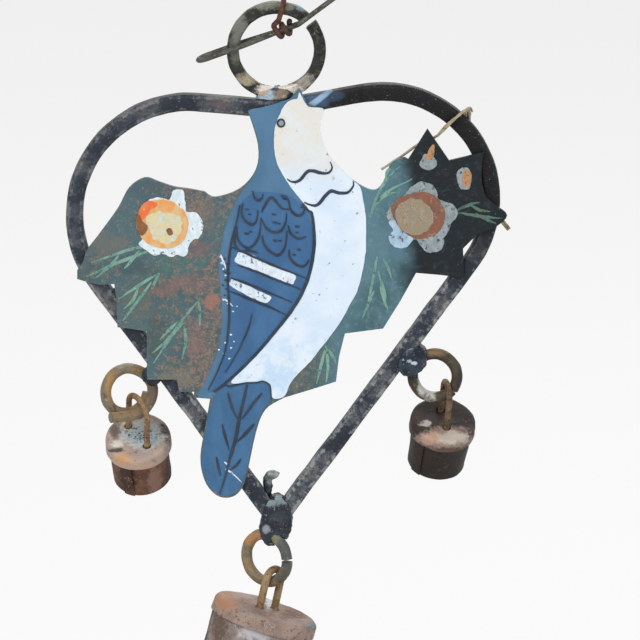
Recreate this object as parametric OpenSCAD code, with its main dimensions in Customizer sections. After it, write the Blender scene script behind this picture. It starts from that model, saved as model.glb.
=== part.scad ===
// Hanging heart of iron bar with a painted bird panel, three rings and three small bells.
// X runs to the right, Z runs up, and the painted side looks towards -Y.
// The origin is the middle of the wire eye that the whole piece hangs from.

/* [Hanging wire] */
// Thickness of the rusty binding wire
tie_wire = 1.3; // [1:0.1:1.5]
// Radius of the hanging eye, to the middle of its wire
eye_r = 4; // [3.4:0.2:6]
// Free stem between the hanging eye and the top ring
stem_l = 3.8; // [2.5:0.1:8]
// Thickness of the iron hairpin that carries the top ring
hairpin_wire = 1.2; // [0.9:0.1:1.4]
// How far the fold of the hairpin stands out beside the top ring
fold_reach = 7; // [3:0.5:9]
// Length of the hairpin's free end past the binding
free_end_l = 20; // [14:1:30]
// Rise of the bound part of the hairpin, in degrees
bundle_angle = 20; // [12:1:24]
// Rise of the hairpin's free end, in degrees
free_angle = 37; // [30:1:44]

/* [Top ring] */
// Outer diameter of the top ring
top_ring_d = 23; // [22:0.5:30]
// Side of the square bar of the top ring
top_ring_bar = 2.8; // [2:0.1:3.2]
// Opening between the ends of the top ring, in degrees
top_ring_gap_angle = 9; // [5:1:14]

/* [Heart frame] */
// From the notch of the heart down to its point
heart_drop = 98.5; // [85:0.5:115]
// From the middle of the heart to the outer edge of its left lobe
heart_left_w = 49; // [44:0.5:60]
// From the middle of the heart to the outer edge of its right lobe
heart_right_w = 52; // [46:0.5:60]
// Side of the square bar of the heart
bar_t = 4; // [3:0.1:5]
// Rounding of the bar's edges
bar_round = 0.8; // [0.3:0.1:1.1]
// Bend radius of the left lobe, to the middle of the bar
left_lobe_r = 27; // [24:0.5:30]
// Bend radius of the right lobe, to the middle of the bar
right_lobe_r = 25.5; // [22:0.5:30]
// How far the heart's middle lies left of the hanging eye
heart_shift = 1.7; // [0:0.1:2.5]

/* [Painted panel] */
// Thickness of the sheet that the bird and leaves are cut from
panel_t = 0.9; // [0.6:0.1:1.6]

/* [Small rings] */
// Thickness of the wire of the three small rings
ring_wire = 2.6; // [2:0.1:3]
// Radius of the left ring, to the middle of its wire
left_ring_r = 5.4; // [5:0.1:7]
// Radius of the right ring, to the middle of its wire
right_ring_r = 5.2; // [5:0.1:7]
// Radius of the bottom ring, to the middle of its wire
bottom_ring_r = 5.7; // [5.4:0.1:7]
// Gap between a small ring and the bar, filled by its weld
weld_gap = 0.9; // [0.4:0.1:1.2]

/* [Side bells] */
// Diameter of a side bell's cap
side_cap_d = 15.6; // [14.5:0.1:18]
// Height of a side bell, from cap to mouth
side_bell_h = 13.5; // [12.5:0.5:18]
// Outer diameter of a side bell's mouth
side_mouth_d = 13.4; // [12.6:0.1:14]
// Depth of a side bell's cap skirt
side_skirt = 3.2; // [2:0.1:4]
// Thickness of a side bell's bail wire
side_bail_wire = 1.4; // [1.1:0.1:1.6]
// From the ring's wire to the top of a side bell's cap
side_bail_drop = 8.2; // [7.4:0.1:11]
// Diameter of a side bell's clapper
side_bob_d = 3; // [2.4:0.1:3.4]

/* [Bottom bell] */
// Diameter of the bottom bell's cap
big_cap_d = 25; // [22:0.5:30]
// Height of the bottom bell, from cap to mouth
big_bell_h = 24; // [20:0.5:32]
// Outer diameter of the bottom bell's mouth
big_mouth_d = 23; // [20:0.5:24]
// Depth of the bottom bell's cap skirt
big_skirt = 3.6; // [2:0.1:5]
// Thickness of the bottom bell's bail wire
big_bail_wire = 1.8; // [1.4:0.1:2]
// From the ring's wire to the top of the bottom bell's cap
big_bail_drop = 6.6; // [6:0.1:10]
// Diameter of the bottom bell's clapper
big_bob_d = 5; // [4:0.1:7]

/* [Bell making] */
// Thickness of the bell sheet
sheet_t = 0.6; // [0.4:0.05:0.8]
// Thickness of the clapper wire and its loop
clapper_wire_d = 0.9; // [0.7:0.05:1]

/* [Straw tie] */
// Thickness of the straw strand
straw_d = 0.9; // [0.5:0.1:1.2]

/* [Hidden] */

$fn = 64;
LEFT = 0;
RIGHT = 1;
BOTTOM = 2;

// Clearance between pieces that move against each other
clear = 0.3;
// Clearance between pieces of one body that lie side by side
seat = 0.1;
// Overrun of every cut
over = 1;

iron_black = [0.19, 0.21, 0.26];
iron_grey = [0.42, 0.42, 0.38];
rust_wire = [0.55, 0.38, 0.28];
ring_ochre = [0.6, 0.5, 0.36];
cap_tin = [0.66, 0.54, 0.47];
shell_tin = [0.5, 0.36, 0.3];
dark_tin = [0.25, 0.2, 0.18];
panel_blue = [0.3, 0.45, 0.58];
straw_gold = [0.78, 0.68, 0.45];

// Heights of the main places, in the upright plane of the heart
ring_out_r = top_ring_d / 2;
ring_in_r = ring_out_r - top_ring_bar;
ring_mid_r = ring_out_r - top_ring_bar / 2;
ring_y = -(eye_r + tie_wire / 2 + stem_l + ring_out_r);
ring_place = [-heart_shift, ring_y];
left_shoulder_angle = 5;
right_shoulder_angle = 10.5;
// The ring touches the sloping shoulders beside the notch, so the notch lies a little lower
notch_sink = ring_out_r * pow(tan(right_shoulder_angle), 2) / 2 + bar_t / 2 / cos(right_shoulder_angle) + seat;
notch = [-heart_shift, ring_y - ring_out_r - notch_sink];
apex = [-heart_shift, notch.y - heart_drop];

// Turns a shape drawn upright in X and Y, facing +Z, so that it faces -Y
module stand() {
    rotate([90, 0, 0]) children();
}

function unit(angle) = [cos(angle), sin(angle)];
function point3(p, z) = [p.x, p.y, z];

// Distance along a line until it meets a circle round the origin
function reach(p, way, r) = -(p * way) + sqrt(pow(p * way, 2) - p * p + r * r);

// A square bar's section with rounded edges
module bar_section(side, rounding) {
    core = side - 2 * rounding;
    square([side, core], center = true);
    square([core, side], center = true);
    for (x = [-1, 1], y = [-1, 1])
        translate([x * core / 2, y * core / 2]) circle(rounding, $fn = 24);
}

// A straight run of a section from one point towards an angle
module straight_run(from, angle, length) {
    translate([from.x, from.y, 0]) rotate(angle) rotate([90, 0, 90]) linear_extrude(length) children();
}

// Facets of a full bend of bar
bend_facets = 180;

// A bend of a section round a centre, from one angle to a larger one
module bend_run(centre, r, from, to) {
    translate([centre.x, centre.y, 0]) rotate(from) rotate_extrude(angle = to - from, $fn = bend_facets)
        translate([r, 0]) children();
}

// Frames a tube: rings of points square to the path
function tangent(path, i) = let (a = path[max(i - 1, 0)], b = path[min(i + 1, len(path) - 1)]) (b - a) / norm(b - a);
function carried(side, way) = let (s = side - (side * way) * way) s / norm(s);
function sides_of(path, side, i = 0) = i == len(path) ? [] :
    let (s = carried(side, tangent(path, i))) concat([s], sides_of(path, s, i + 1));
module tube(path, radii, sides, first_side) {
    across = sides_of(path, first_side);
    n = len(path);
    points = [for (i = [0 : n - 1], k = [0 : sides - 1])
        let (way = tangent(path, i), u = across[i], v = cross(way, u), a = 360 * k / sides)
        path[i] + radii[i] * (cos(a) * u + sin(a) * v)];
    walls = [for (i = [0 : n - 2], k = [0 : sides - 1])
        let (a = i * sides + k, b = i * sides + (k + 1) % sides) [a, a + sides, b + sides, b]];
    ends = [[for (k = [0 : sides - 1]) k], [for (k = [sides - 1 : -1 : 0]) (n - 1) * sides + k]];
    polyhedron(points = points, faces = concat(walls, ends), convexity = 8);
}

// The hairpin and the wire that binds it

wraps = 2;
wrap_steps = 24;
wrap_pitch = tie_wire + 0.5 * tie_wire;
wrap_depth = hairpin_wire + seat + tie_wire / 2;
wrap_height = hairpin_wire / 2 + seat + tie_wire / 2;
wrap_half_l = wraps * wrap_pitch / 2;
leg_depth = top_ring_bar / 2 + clear + hairpin_wire / 2;
bundle_way = unit(bundle_angle);
bundle_side = [-bundle_way.y, bundle_way.x];
// The upper corner of the wraps lies just under the ring's inner side
wrap_corner = (wrap_half_l + tie_wire / 2) * bundle_way + (wrap_height + tie_wire / 2) * bundle_side;
bundle_x = heart_shift + wrap_corner.x;
bundle = [0, ring_y + sqrt(pow(ring_in_r - clear, 2) - pow(bundle_x, 2)) - wrap_corner.y];

from_ring = bundle - ring_place;
left_start = from_ring - wrap_half_l * bundle_way;
inner_l = wrap_half_l + reach(left_start, -bundle_way, ring_in_r) - hairpin_wire;
fold_l = wrap_half_l + reach(left_start, -bundle_way, ring_out_r) + fold_reach - leg_depth;
right_l = wrap_half_l + tie_wire / 2;
free_way = unit(free_angle);
free_start = bundle + right_l * bundle_way;
cross_l = reach(free_start - ring_place, free_way, ring_in_r) - hairpin_wire / 2;
legs_apart = hairpin_wire / 2 + seat / 4;
fold_steps = 16;
function on_bundle(l, z) = point3(bundle + l * bundle_way, z);
hairpin_path = concat([point3(free_start + free_end_l * free_way, leg_depth), point3(free_start + cross_l * free_way, leg_depth),
    point3(free_start, legs_apart), on_bundle(-wrap_half_l, legs_apart), on_bundle(-inner_l, leg_depth)],
    [for (i = [0 : fold_steps]) let (a = 180 * i / fold_steps) on_bundle(-fold_l - leg_depth * sin(a), leg_depth * cos(a))],
    [on_bundle(-inner_l, -leg_depth), on_bundle(-wrap_half_l, -legs_apart), on_bundle(right_l + hairpin_wire, -legs_apart)]);

module hairpin_wire_hook() {
    color(iron_grey) stand() tube(hairpin_path, [for (p = hairpin_path) hairpin_wire / 2], 10, [0, 0, 1]);
}

// The binding wire: two wraps, a stem in front of the ring, and the hanging eye
wrap_turns = [for (i = [0 : wraps * wrap_steps])
    let (a = 90 + 360 * i / wrap_steps, l = wrap_half_l - wrap_pitch * i / wrap_steps,
        p = bundle + l * bundle_way + wrap_height * sin(a) * bundle_side)
    point3(p, wrap_depth * cos(a))];
stem_depth = top_ring_bar / 2 + clear + tie_wire / 2;
wrap_end = wrap_turns[len(wrap_turns) - 1];
stem_path = [point3([wrap_end.x, wrap_end.y + tie_wire / 2], stem_depth * 0.6),
    point3([wrap_end.x / 2, wrap_end.y + 1.6 * tie_wire], stem_depth),
    point3([0, ring_y + ring_out_r], stem_depth),
    point3([0, -eye_r - stem_l / 2], stem_depth / 2)];
eye_path = [for (i = [0 : wrap_steps]) let (a = -90 + 345 * i / wrap_steps) point3(eye_r * unit(a), i == 0 ? seat : 0)];
binding_path = concat(wrap_turns, stem_path, eye_path);
wrap_self_gap = min([for (i = [0 : wrap_steps]) norm(wrap_turns[i + wrap_steps] - wrap_turns[i])]) - tie_wire;

module binding_wire() {
    echo(binding_wire_gap_to_itself = wrap_self_gap);
    color(rust_wire) stand()
        tube(binding_path, [for (p = binding_path) tie_wire / 2], 8, [0, 0, 1]);
}

// The top ring, open at its upper right

full_turn = 360;
top_ring_opening_angle = 42;
module top_ring_solid() {
    half = top_ring_gap_angle / 2;
    bend_run(ring_place, ring_mid_r, top_ring_opening_angle + half, top_ring_opening_angle + full_turn - half)
        bar_section(top_ring_bar, bar_round * top_ring_bar / bar_t);
}

module top_ring() {
    color(iron_grey) stand() top_ring_solid();
}

// The heart: each half is a straight shoulder, a lobe and a straight leg to the point

function lobe_middle(width, r, rise, side) =
    let (away = (width - bar_t / 2 - r) , shoulder = (away - r * sin(rise)) / cos(rise))
    notch + [side * away, shoulder * sin(rise) - r * cos(rise)];
left_lobe = lobe_middle(heart_left_w, left_lobe_r, left_shoulder_angle, -1);
right_lobe = lobe_middle(heart_right_w, right_lobe_r, right_shoulder_angle, 1);
// A leg is the line from the point of the heart that touches its lobe
function leg_angle(lobe, r, side) = let (to = lobe - apex) atan2(to.y, side * to.x) - asin(r / norm(to));
function leg_length(lobe, r) = let (to = lobe - apex) sqrt(to * to - r * r);
left_leg = leg_angle(left_lobe, left_lobe_r, -1);
right_leg = leg_angle(right_lobe, right_lobe_r, 1);
left_leg_l = leg_length(left_lobe, left_lobe_r);
right_leg_l = leg_length(right_lobe, right_lobe_r);

function arc(centre, r, from, to) = [for (i = [0 : lobe_steps])
    centre + r * unit(from + (to - from) * i / lobe_steps)];
lobe_steps = 60;

// The outline of one half of the heart, drawn to the right of the notch, with both ends cut along its middle line
function half_outline(lobe, r, rise, leg) =
    let (half = bar_t / 2, middle = [abs(lobe.x - notch.x), lobe.y - notch.y], tip = apex.y - notch.y)
    concat([[0, half / cos(rise)]], arc(middle, r + half, rise + 90, leg - 90),
        [[(half / cos(leg) - point_cut) / tan(leg), tip - point_cut], [0, tip - point_cut], [0, tip + half / cos(leg)]],
        arc(middle, r - half, leg - 90, rise + 90), [[0, -half / cos(rise)]]);

point_cut = 0.45 * bar_t;
module heart_half(outline) {
    translate([notch.x, notch.y, -bar_t / 2]) linear_extrude(bar_t) polygon(outline);
}

// The straight runs and the lobe of the bars, as cutters for the welds that lie on them
module leg_cut(leg, side) {
    along = [side * cos(leg), sin(leg)];
    straight_run(apex - bar_t * along, side > 0 ? leg : 180 - leg, left_leg_l + bar_t) square(bar_t + 2 * seat, center = true);
}

module shoulder_cut(rise, side) {
    along = [side * cos(rise), sin(rise)];
    straight_run(notch - bar_t / 2 * along, side > 0 ? rise : 180 - rise, 4 * bar_t)
        square(bar_t + 2 * seat, center = true);
}

module lobe_cut(lobe, r) {
    translate([lobe.x, lobe.y, -bar_t / 2 - seat]) linear_extrude(bar_t + 2 * seat) difference() {
        circle(r + bar_t / 2 + seat, $fn = bend_facets);
        circle(r - bar_t / 2 - seat, $fn = bend_facets);
    }
}

module frame_bar_left() {
    color(iron_black) stand() translate([2 * notch.x, 0, 0]) mirror([1, 0, 0])
        heart_half(half_outline(left_lobe, left_lobe_r, left_shoulder_angle, left_leg));
}

module frame_bar_right() {
    color(iron_black) stand() heart_half(half_outline(right_lobe, right_lobe_r, right_shoulder_angle, right_leg));
}

// Welds are lumps of filler, cut by what they join

top_weld_half = [1.2 * bar_t, 0.75 * bar_t, 0.4 * bar_t];
oval_steps = 48;
module oval(half) {
    polygon([for (i = [1 : oval_steps]) let (u = unit(360 * i / oval_steps)) [u.x * half.x, u.y * half.y]]);
}

module top_weld() {
    color(iron_black) stand() difference() {
        translate([notch.x, notch.y + 0.55 * bar_t, -top_weld_half.z]) linear_extrude(2 * top_weld_half.z)
            oval(top_weld_half);
        shoulder_cut(left_shoulder_angle, -1);
        shoulder_cut(right_shoulder_angle, 1);
        top_ring_solid();
    }
}

// The lump at the point of the heart holds the bottom ring and a curled end of filler
apex_weld_half = [0.9 * bar_t, 1.45 * bar_t, 0.62 * bar_t];
neck_weld_half = [0.72 * bar_t, 0.95 * bar_t, 0.55 * bar_t];
curl_r = 0.36 * bar_t;
curl_wire = 0.55 * bar_t;
curl_angle = 50;
curl_steps = 12;
module apex_weld() {
    neck = [bottom_ring_place.x / 2 + apex.x / 2, bottom_ring_place.y + bottom_ring_r + 0.35 * bar_t];
    curl_foot = apex + [-0.55 * bar_t, 0.9 * bar_t];
    curl_top = curl_foot + [0, 1.5 * bar_t];
    curl_path = concat([point3(curl_foot, 0)], [for (i = [0 : curl_steps])
        point3(curl_top + [curl_r, 0] + curl_r * unit(180 - (180 - curl_angle) * i / curl_steps), 0)]);
    color(iron_black) stand() difference() {
        union() {
            translate([apex.x, apex.y + 0.1 * bar_t, -apex_weld_half.z]) linear_extrude(2 * apex_weld_half.z)
                oval(apex_weld_half);
            translate([neck.x, neck.y, -neck_weld_half.z]) linear_extrude(2 * neck_weld_half.z)
                oval(neck_weld_half);
            tube(curl_path, [for (spot = curl_path) curl_wire / 2], 24, [0, 0, 1]);
        }
        leg_cut(left_leg, -1);
        leg_cut(right_leg, 1);
        place_ring(BOTTOM) bottom_ring_solid(ring_wire + 2 * seat);
    }
}

// The cut-out sheet: a bird between two wings of leaves, with stepped and toothed edges
// Each point is a share of the heart's half width and of its drop, from the notch

left_flank_shares = [[-0.136, -0.005], [-0.088, -0.086], [-0.098, -0.147], [-0.174, -0.193], [-0.289, -0.213],
    [-0.341, -0.2]];
left_wing_shares = [[-0.341, -0.2], [-0.413, -0.193], [-0.484, -0.188], [-0.556, -0.176], [-0.623, -0.166],
    [-0.699, -0.191], [-0.752, -0.24], [-0.842, -0.303], [-0.9, -0.342], [-0.919, -0.372]];
left_teeth_shares = [[-0.947, -0.391], [-0.947, -0.411], [-0.9, -0.418], [-0.842, -0.425], [-0.771, -0.423],
    [-0.761, -0.465], [-0.757, -0.528], [-0.699, -0.531], [-0.618, -0.538], [-0.618, -0.655], [-0.475, -0.655],
    [-0.465, -0.685], [-0.394, -0.685], [-0.394, -0.699]];
tail_shares = [[-0.317, -0.702], [-0.341, -0.77], [-0.365, -0.844], [-0.346, -0.9], [-0.298, -0.934],
    [-0.241, -0.944], [-0.184, -0.932], [-0.146, -0.892], [-0.098, -0.782], [-0.055, -0.729], [0.016, -0.704]];
right_teeth_shares = [[0.034, -0.699], [0.15, -0.68], [0.266, -0.66], [0.28, -0.599], [0.306, -0.543],
    [0.477, -0.531], [0.553, -0.465], [0.624, -0.396], [0.732, -0.401], [0.839, -0.408]];
right_wing_shares = [[0.834, -0.337], [0.902, -0.303], [0.982, -0.284], [1.03, -0.257], [0.978, -0.232],
    [0.928, -0.203], [0.915, -0.147], [0.928, -0.095]];
spike_shares = [[0.848, -0.115], [0.77, -0.125], [0.673, -0.049], [0.588, -0.122]];
right_flank_shares = [[0.57, -0.117], [0.512, -0.132], [0.472, -0.181], [0.427, -0.196], [0.338, -0.171],
    [0.239, -0.117], [0.195, -0.061], [0.208, -0.012], [0.217, 0]];
crown_shares = [[0.141, 0.01], [0.128, 0.015], [0.101, 0.049], [0.06, 0.022], [-0.031, 0.005]];

// The sheet sits a little high on the bars
panel_lift = 0.15 * bar_t;

// A smooth curve through chosen points
curve_steps = 4;
function blend(a, b, c, d, t) = 0.5 * (2 * b + (c - a) * t + (2 * a - 5 * b + 4 * c - d) * t * t
    + (3 * b - a - 3 * c + d) * t * t * t);
function curve(p) = [for (i = [0 : len(p) - 2], s = [0 : curve_steps - 1])
    blend(p[max(i - 1, 0)], p[i], p[i + 1], p[min(i + 2, len(p) - 1)], s / curve_steps)];
function on_heart(share) = [notch.x + share.x * (share.x < 0 ? heart_left_w : heart_right_w),
    notch.y + panel_lift + share.y * heart_drop];
panel_shares = concat(curve(left_flank_shares), curve(left_wing_shares), left_teeth_shares, curve(tail_shares),
    right_teeth_shares, curve(right_wing_shares), spike_shares, curve(right_flank_shares), crown_shares);

module panel_solid() {
    translate([0, 0, bar_t / 2]) linear_extrude(panel_t) polygon([for (s = panel_shares) on_heart(s)]);
}

module bird_panel() {
    color(panel_blue) stand() panel_solid();
}

// Four tacks hold the panel where it crosses the bars
tail_tack_share = 0.25;
left_tack_share = 0.93;
module panel_tacks() {
    tack_r = 0.45 * bar_t;
    off = 0.6 * bar_t;
    left_way = [-cos(left_leg), sin(left_leg)];
    left_in = [sin(left_leg), cos(left_leg)];
    right_mid = right_lobe + (right_lobe_r - off) * unit(12);
    color(iron_black) stand() difference() {
        for (p = [apex + tail_tack_share * left_leg_l * left_way + off * left_in,
                apex + left_tack_share * left_leg_l * left_way + off * left_in,
                right_mid, notch - [0, off]])
            translate(point3(p, 0.4 * bar_t)) sphere(tack_r);
        translate([notch.x - 2 * heart_left_w, notch.y - 2 * heart_drop, bar_t / 2])
            cube([3 * heart_left_w + heart_right_w, 3 * heart_drop, bar_t]);
        leg_cut(left_leg, -1);
        lobe_cut(right_lobe, right_lobe_r);
        shoulder_cut(left_shoulder_angle, -1);
        shoulder_cut(right_shoulder_angle, 1);
    }
}

// A straw strand over the right bar and behind the panel
// Each point is a share of the right half width and of the drop, and of the bar's thickness in depth
straw_route_shares = [[1.035, -0.3, -0.75], [0.99, -0.26, -0.85], [0.95, -0.19, -0.9], [0.9, -0.11, -0.9],
    [0.866, -0.045, -0.85], [0.857, -0.008, -0.4], [0.846, 0, 0.2], [0.818, -0.02, 0.72], [0.78, -0.04, 0.78],
    [0.745, -0.058, 0.6], [0.72, -0.072, 0.3], [0.68, -0.08, 0.2], [0.63, -0.088, 0.2], [0.57, -0.112, 0.2],
    [0.52, -0.132, 0.2], [0.47, -0.15, 0.2]];
straw_route = [for (s = curve(straw_route_shares)) point3(on_heart([s.x, s.y]), s.z * bar_t)];
module straw_strand() {
    color(straw_gold) stand() tube(straw_route, [for (p = straw_route) straw_d / 2], 8, [0, 0, 1]);
}

// The three small rings, each turned a little about its upright line

ring_r = [left_ring_r, right_ring_r, bottom_ring_r];
ring_yaw = [25, -8, -33];
left_ring_share = 0.64;
right_ring_share = 0.65;
ring_off = bar_t / 2 + weld_gap + ring_wire / 2;
left_ring_place = apex + left_ring_share * left_leg_l * [-cos(left_leg), sin(left_leg)]
    - (ring_off + left_ring_r) * [sin(left_leg), cos(left_leg)];
right_ring_place = apex + right_ring_share * right_leg_l * [cos(right_leg), sin(right_leg)]
    + (ring_off + right_ring_r) * [sin(right_leg), -cos(right_leg)];
bottom_ring_place = apex - [0.6 * bar_t, 0.85 * bar_t + bottom_ring_r];
ring_places = [left_ring_place, right_ring_place, bottom_ring_place];

module place_ring(which) {
    translate(point3(ring_places[which], 0)) rotate([0, ring_yaw[which], 0]) children();
}

module ring_arc(r, from, to, wire) {
    bend_run([0, 0], r, from, to) circle(d = wire, $fn = 32);
}

// The left ring's wire goes round more than once: its ends lie side by side, and one runs on in a straight tail
left_strands = ring_wire + seat;
left_ring_ends_angle = [270, 710];
left_ring_cross_angle = [380, 450];
left_ring_steps = 55;
left_ring_path = concat([[-left_ring_r, -left_ring_r, left_strands / 2]], [for (i = [0 : left_ring_steps])
    let (a = left_ring_ends_angle[0] + (left_ring_ends_angle[1] - left_ring_ends_angle[0]) * i / left_ring_steps,
        across = (a - left_ring_cross_angle[0]) / (left_ring_cross_angle[1] - left_ring_cross_angle[0]))
    point3(left_ring_r * unit(a), left_strands * (0.5 - min(max(across, 0), 1)))]);
module left_ring_solid(wire) {
    tube(left_ring_path, [for (p = left_ring_path) wire / 2], 12, [0, 0, 1]);
}

right_ring_ends_angle = [-35, 318];
bottom_ring_ends_angle = [5, 358];
module right_ring_solid(wire) {
    ring_arc(right_ring_r, right_ring_ends_angle[0], right_ring_ends_angle[1], wire);
}

module bottom_ring_solid(wire) {
    ring_arc(bottom_ring_r, bottom_ring_ends_angle[0], bottom_ring_ends_angle[1], wire);
}

module left_ring() {
    color(ring_ochre) stand() place_ring(LEFT) left_ring_solid(ring_wire);
}

module right_ring() {
    color(ring_ochre) stand() place_ring(RIGHT) right_ring_solid(ring_wire);
}

module bottom_ring() {
    color(ring_ochre) stand() place_ring(BOTTOM) bottom_ring_solid(ring_wire);
}

module left_ring_weld() {
    toward = [sin(left_leg), cos(left_leg)];
    place = left_ring_place + (left_ring_r + ring_wire / 2) * toward;
    color(iron_black) stand() difference() {
        translate(point3(place, 0)) sphere(0.62 * bar_t);
        leg_cut(left_leg, -1);
        place_ring(LEFT) left_ring_solid(ring_wire + 2 * seat);
        panel_solid();
    }
}

right_weld_half = [bar_t, 0.75 * bar_t, 0.6 * bar_t];
module right_ring_weld() {
    toward = [-sin(right_leg), cos(right_leg)];
    place = right_ring_place + (right_ring_r + ring_wire / 2) * toward;
    color(iron_black) stand() difference() {
        translate(point3(place, -right_weld_half.z)) rotate(right_leg) linear_extrude(2 * right_weld_half.z)
            oval(right_weld_half);
        leg_cut(right_leg, 1);
        place_ring(RIGHT) right_ring_solid(ring_wire + 2 * seat);
    }
}

// The bells: a bail over the ring, a capped shell on the bail, and a clapper inside

cap_d = [side_cap_d, side_cap_d, big_cap_d];
bell_h = [side_bell_h, side_bell_h, big_bell_h];
mouth_d = [side_mouth_d, side_mouth_d, big_mouth_d];
skirt = [side_skirt, side_skirt, big_skirt];
bail_wire = [side_bail_wire, side_bail_wire, big_bail_wire];
bail_drop = [side_bail_drop, side_bail_drop, big_bail_drop];
bob_d = [side_bob_d, side_bob_d, big_bob_d];
// Place of the bail on its ring, from straight below, in degrees
hang_angle = [25, 32, 18];
// Rest angles of the bail: tipped about the ring's wire, and leaning to the left
bail_tip = [29, 38, -14];
bail_lean = [-14, 3, 6];
// Rest angle of the bell on its bail, and of the clapper in the bell
bell_rock = [-7, 3, 6];
clapper_rest = [-26, -29, 12];
// Half width of what each bail goes round
carried_half = [ring_wire / 2 + left_strands / 2, ring_wire / 2, ring_wire / 2];
function bail_r(which) = carried_half[which] + bail_play[which] + bail_wire[which] / 2;
foot_bend = 0.9;
foot_share = 0.5;
bail_play = [0.6, 1, 0.7];

// Drawn with the bail's legs in Y and Z, from the middle of the ring's wire
module at_bail(which) {
    place = ring_places[which];
    angle = hang_angle[which];
    wire = ring_r[which] * [sin(angle), 0, -cos(angle)];
    translate([place.x, 0, place.y]) rotate([0, 0, ring_yaw[which]]) translate(wire)
        rotate(a = bail_tip[which], v = [cos(angle), 0, sin(angle)]) rotate([0, bail_lean[which], 0]) children();
}

module at_bell(which) {
    at_bail(which) translate([0, 0, -bail_drop[which] - sheet_t / 2]) rotate([0, bell_rock[which], 0]) children();
}

module bail(which) {
    wire = bail_wire[which];
    r = bail_r(which);
    bend = foot_bend * wire;
    foot = foot_share * bend;
    straight = bail_drop[which] + sheet_t;
    at_bail(which) {
        rotate([90, 0, 90]) rotate_extrude(angle = 180) translate([r, 0]) circle(d = wire, $fn = 32);
        for (side = [-1, 1]) {
            translate([0, side * r, -straight]) cylinder(h = straight, d = wire);
            translate([0, side * (r + bend), -straight]) rotate([90, 0, 90])
                rotate(side > 0 ? 180 : 270) rotate_extrude(angle = 90) translate([bend, 0]) circle(d = wire, $fn = 32);
            translate([0, side * (r + bend), -straight - bend]) rotate([-90 * side, 0, 0])
                cylinder(h = foot, d = wire);
        }
    }
}

// The cap: a disc with a rounded edge and a skirt that is turned down over the shell
module cap(which) {
    r = cap_d[which] / 2;
    edge = 2 * sheet_t;
    hole_r = bail_wire[which] / 2 + clear;
    at_bell(which) difference() {
        rotate_extrude() difference() {
            translate([0, sheet_t / 2]) union() {
                translate([0, -skirt[which]]) square([r, skirt[which] - edge]);
                translate([0, -edge]) square([r - edge, edge]);
                translate([r - edge, -edge]) circle(edge, $fn = 32);
            }
            translate([0, -skirt[which] - over]) square([r - sheet_t, skirt[which] + over - sheet_t / 2]);
            translate([-r, -2 * skirt[which]]) square([r, 3 * skirt[which]]);
        }
        for (side = [-1, 1])
            translate([0, side * bail_r(which), -over]) cylinder(h = 2 * over, r = hole_r);
    }
}

// The shell: a rolled sheet with an overlapping seam, tapering to the mouth
module shell(which) {
    top_r = cap_d[which] / 2 - sheet_t - seat;
    mouth_r = mouth_d[which] / 2 - sheet_t;
    low = sheet_t / 2 - bell_h[which];
    high = -sheet_t / 2;
    seam_top = sheet_t / 2 - skirt[which] - seat;
    seam_r = top_r + (mouth_r + sheet_t - top_r) * (seam_top - high) / (low - high);
    at_bell(which) {
        rotate_extrude() polygon([[top_r - sheet_t, high], [top_r, high], [mouth_r + sheet_t, low], [mouth_r, low]]);
        rotate(200) rotate_extrude(angle = 22) polygon([[seam_r - sheet_t / 2, seam_top], [seam_r + sheet_t / 2, seam_top],
            [mouth_r + 1.5 * sheet_t, low], [mouth_r + sheet_t / 2, low]]);
    }
}

// The clapper's loop hangs under the cap, across the bail
loop_r = 1.6 * clapper_wire_d;
loop_drop = sheet_t / 2 + 2.2 * clapper_wire_d;
module clapper_loop(which) {
    at_bell(which) {
        translate([0, 0, -loop_drop]) rotate([90, 0, 0]) rotate(180) rotate_extrude(angle = 180)
            translate([loop_r, 0]) circle(d = clapper_wire_d, $fn = 32);
        for (side = [-1, 1])
            translate([side * loop_r, 0, -loop_drop]) cylinder(h = loop_drop - sheet_t / 2, d = clapper_wire_d);
    }
}

// Drawn from the middle of the loop's wire, where the clapper's eye swings
module at_clapper(which) {
    at_bell(which) translate([0, 0, -loop_drop - loop_r]) rotate([clapper_rest[which], 0, 0]) children();
}

clapper_eye_r = clapper_wire_d + clear;
function bob_l(which) = 1.1 * bob_d[which];
mouth_share = 0.12;
function rod_end(which) = bell_h[which] * (1 - mouth_share) - loop_drop - loop_r - bob_l(which);
module clapper_rod(which) {
    at_clapper(which) {
        rotate([0, 90, 0]) rotate_extrude() translate([clapper_eye_r, 0]) circle(d = clapper_wire_d, $fn = 24);
        translate([0, 0, -rod_end(which)])
            cylinder(h = rod_end(which) - clapper_eye_r, d = clapper_wire_d);
    }
}

module clapper_bob(which) {
    at_clapper(which) translate([0, 0, -rod_end(which) - bob_l(which)])
        rotate_extrude() difference() {
            union() {
                translate([0, bob_d[which] / 4]) square([bob_d[which] / 2, bob_l(which) - bob_d[which] / 4]);
                square([bob_d[which] / 4, bob_l(which)]);
                translate([bob_d[which] / 4, bob_d[which] / 4]) circle(bob_d[which] / 4);
            }
            translate([-bob_d[which], -over]) square([bob_d[which], bob_l(which) + 2 * over]);
        }
}

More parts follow.
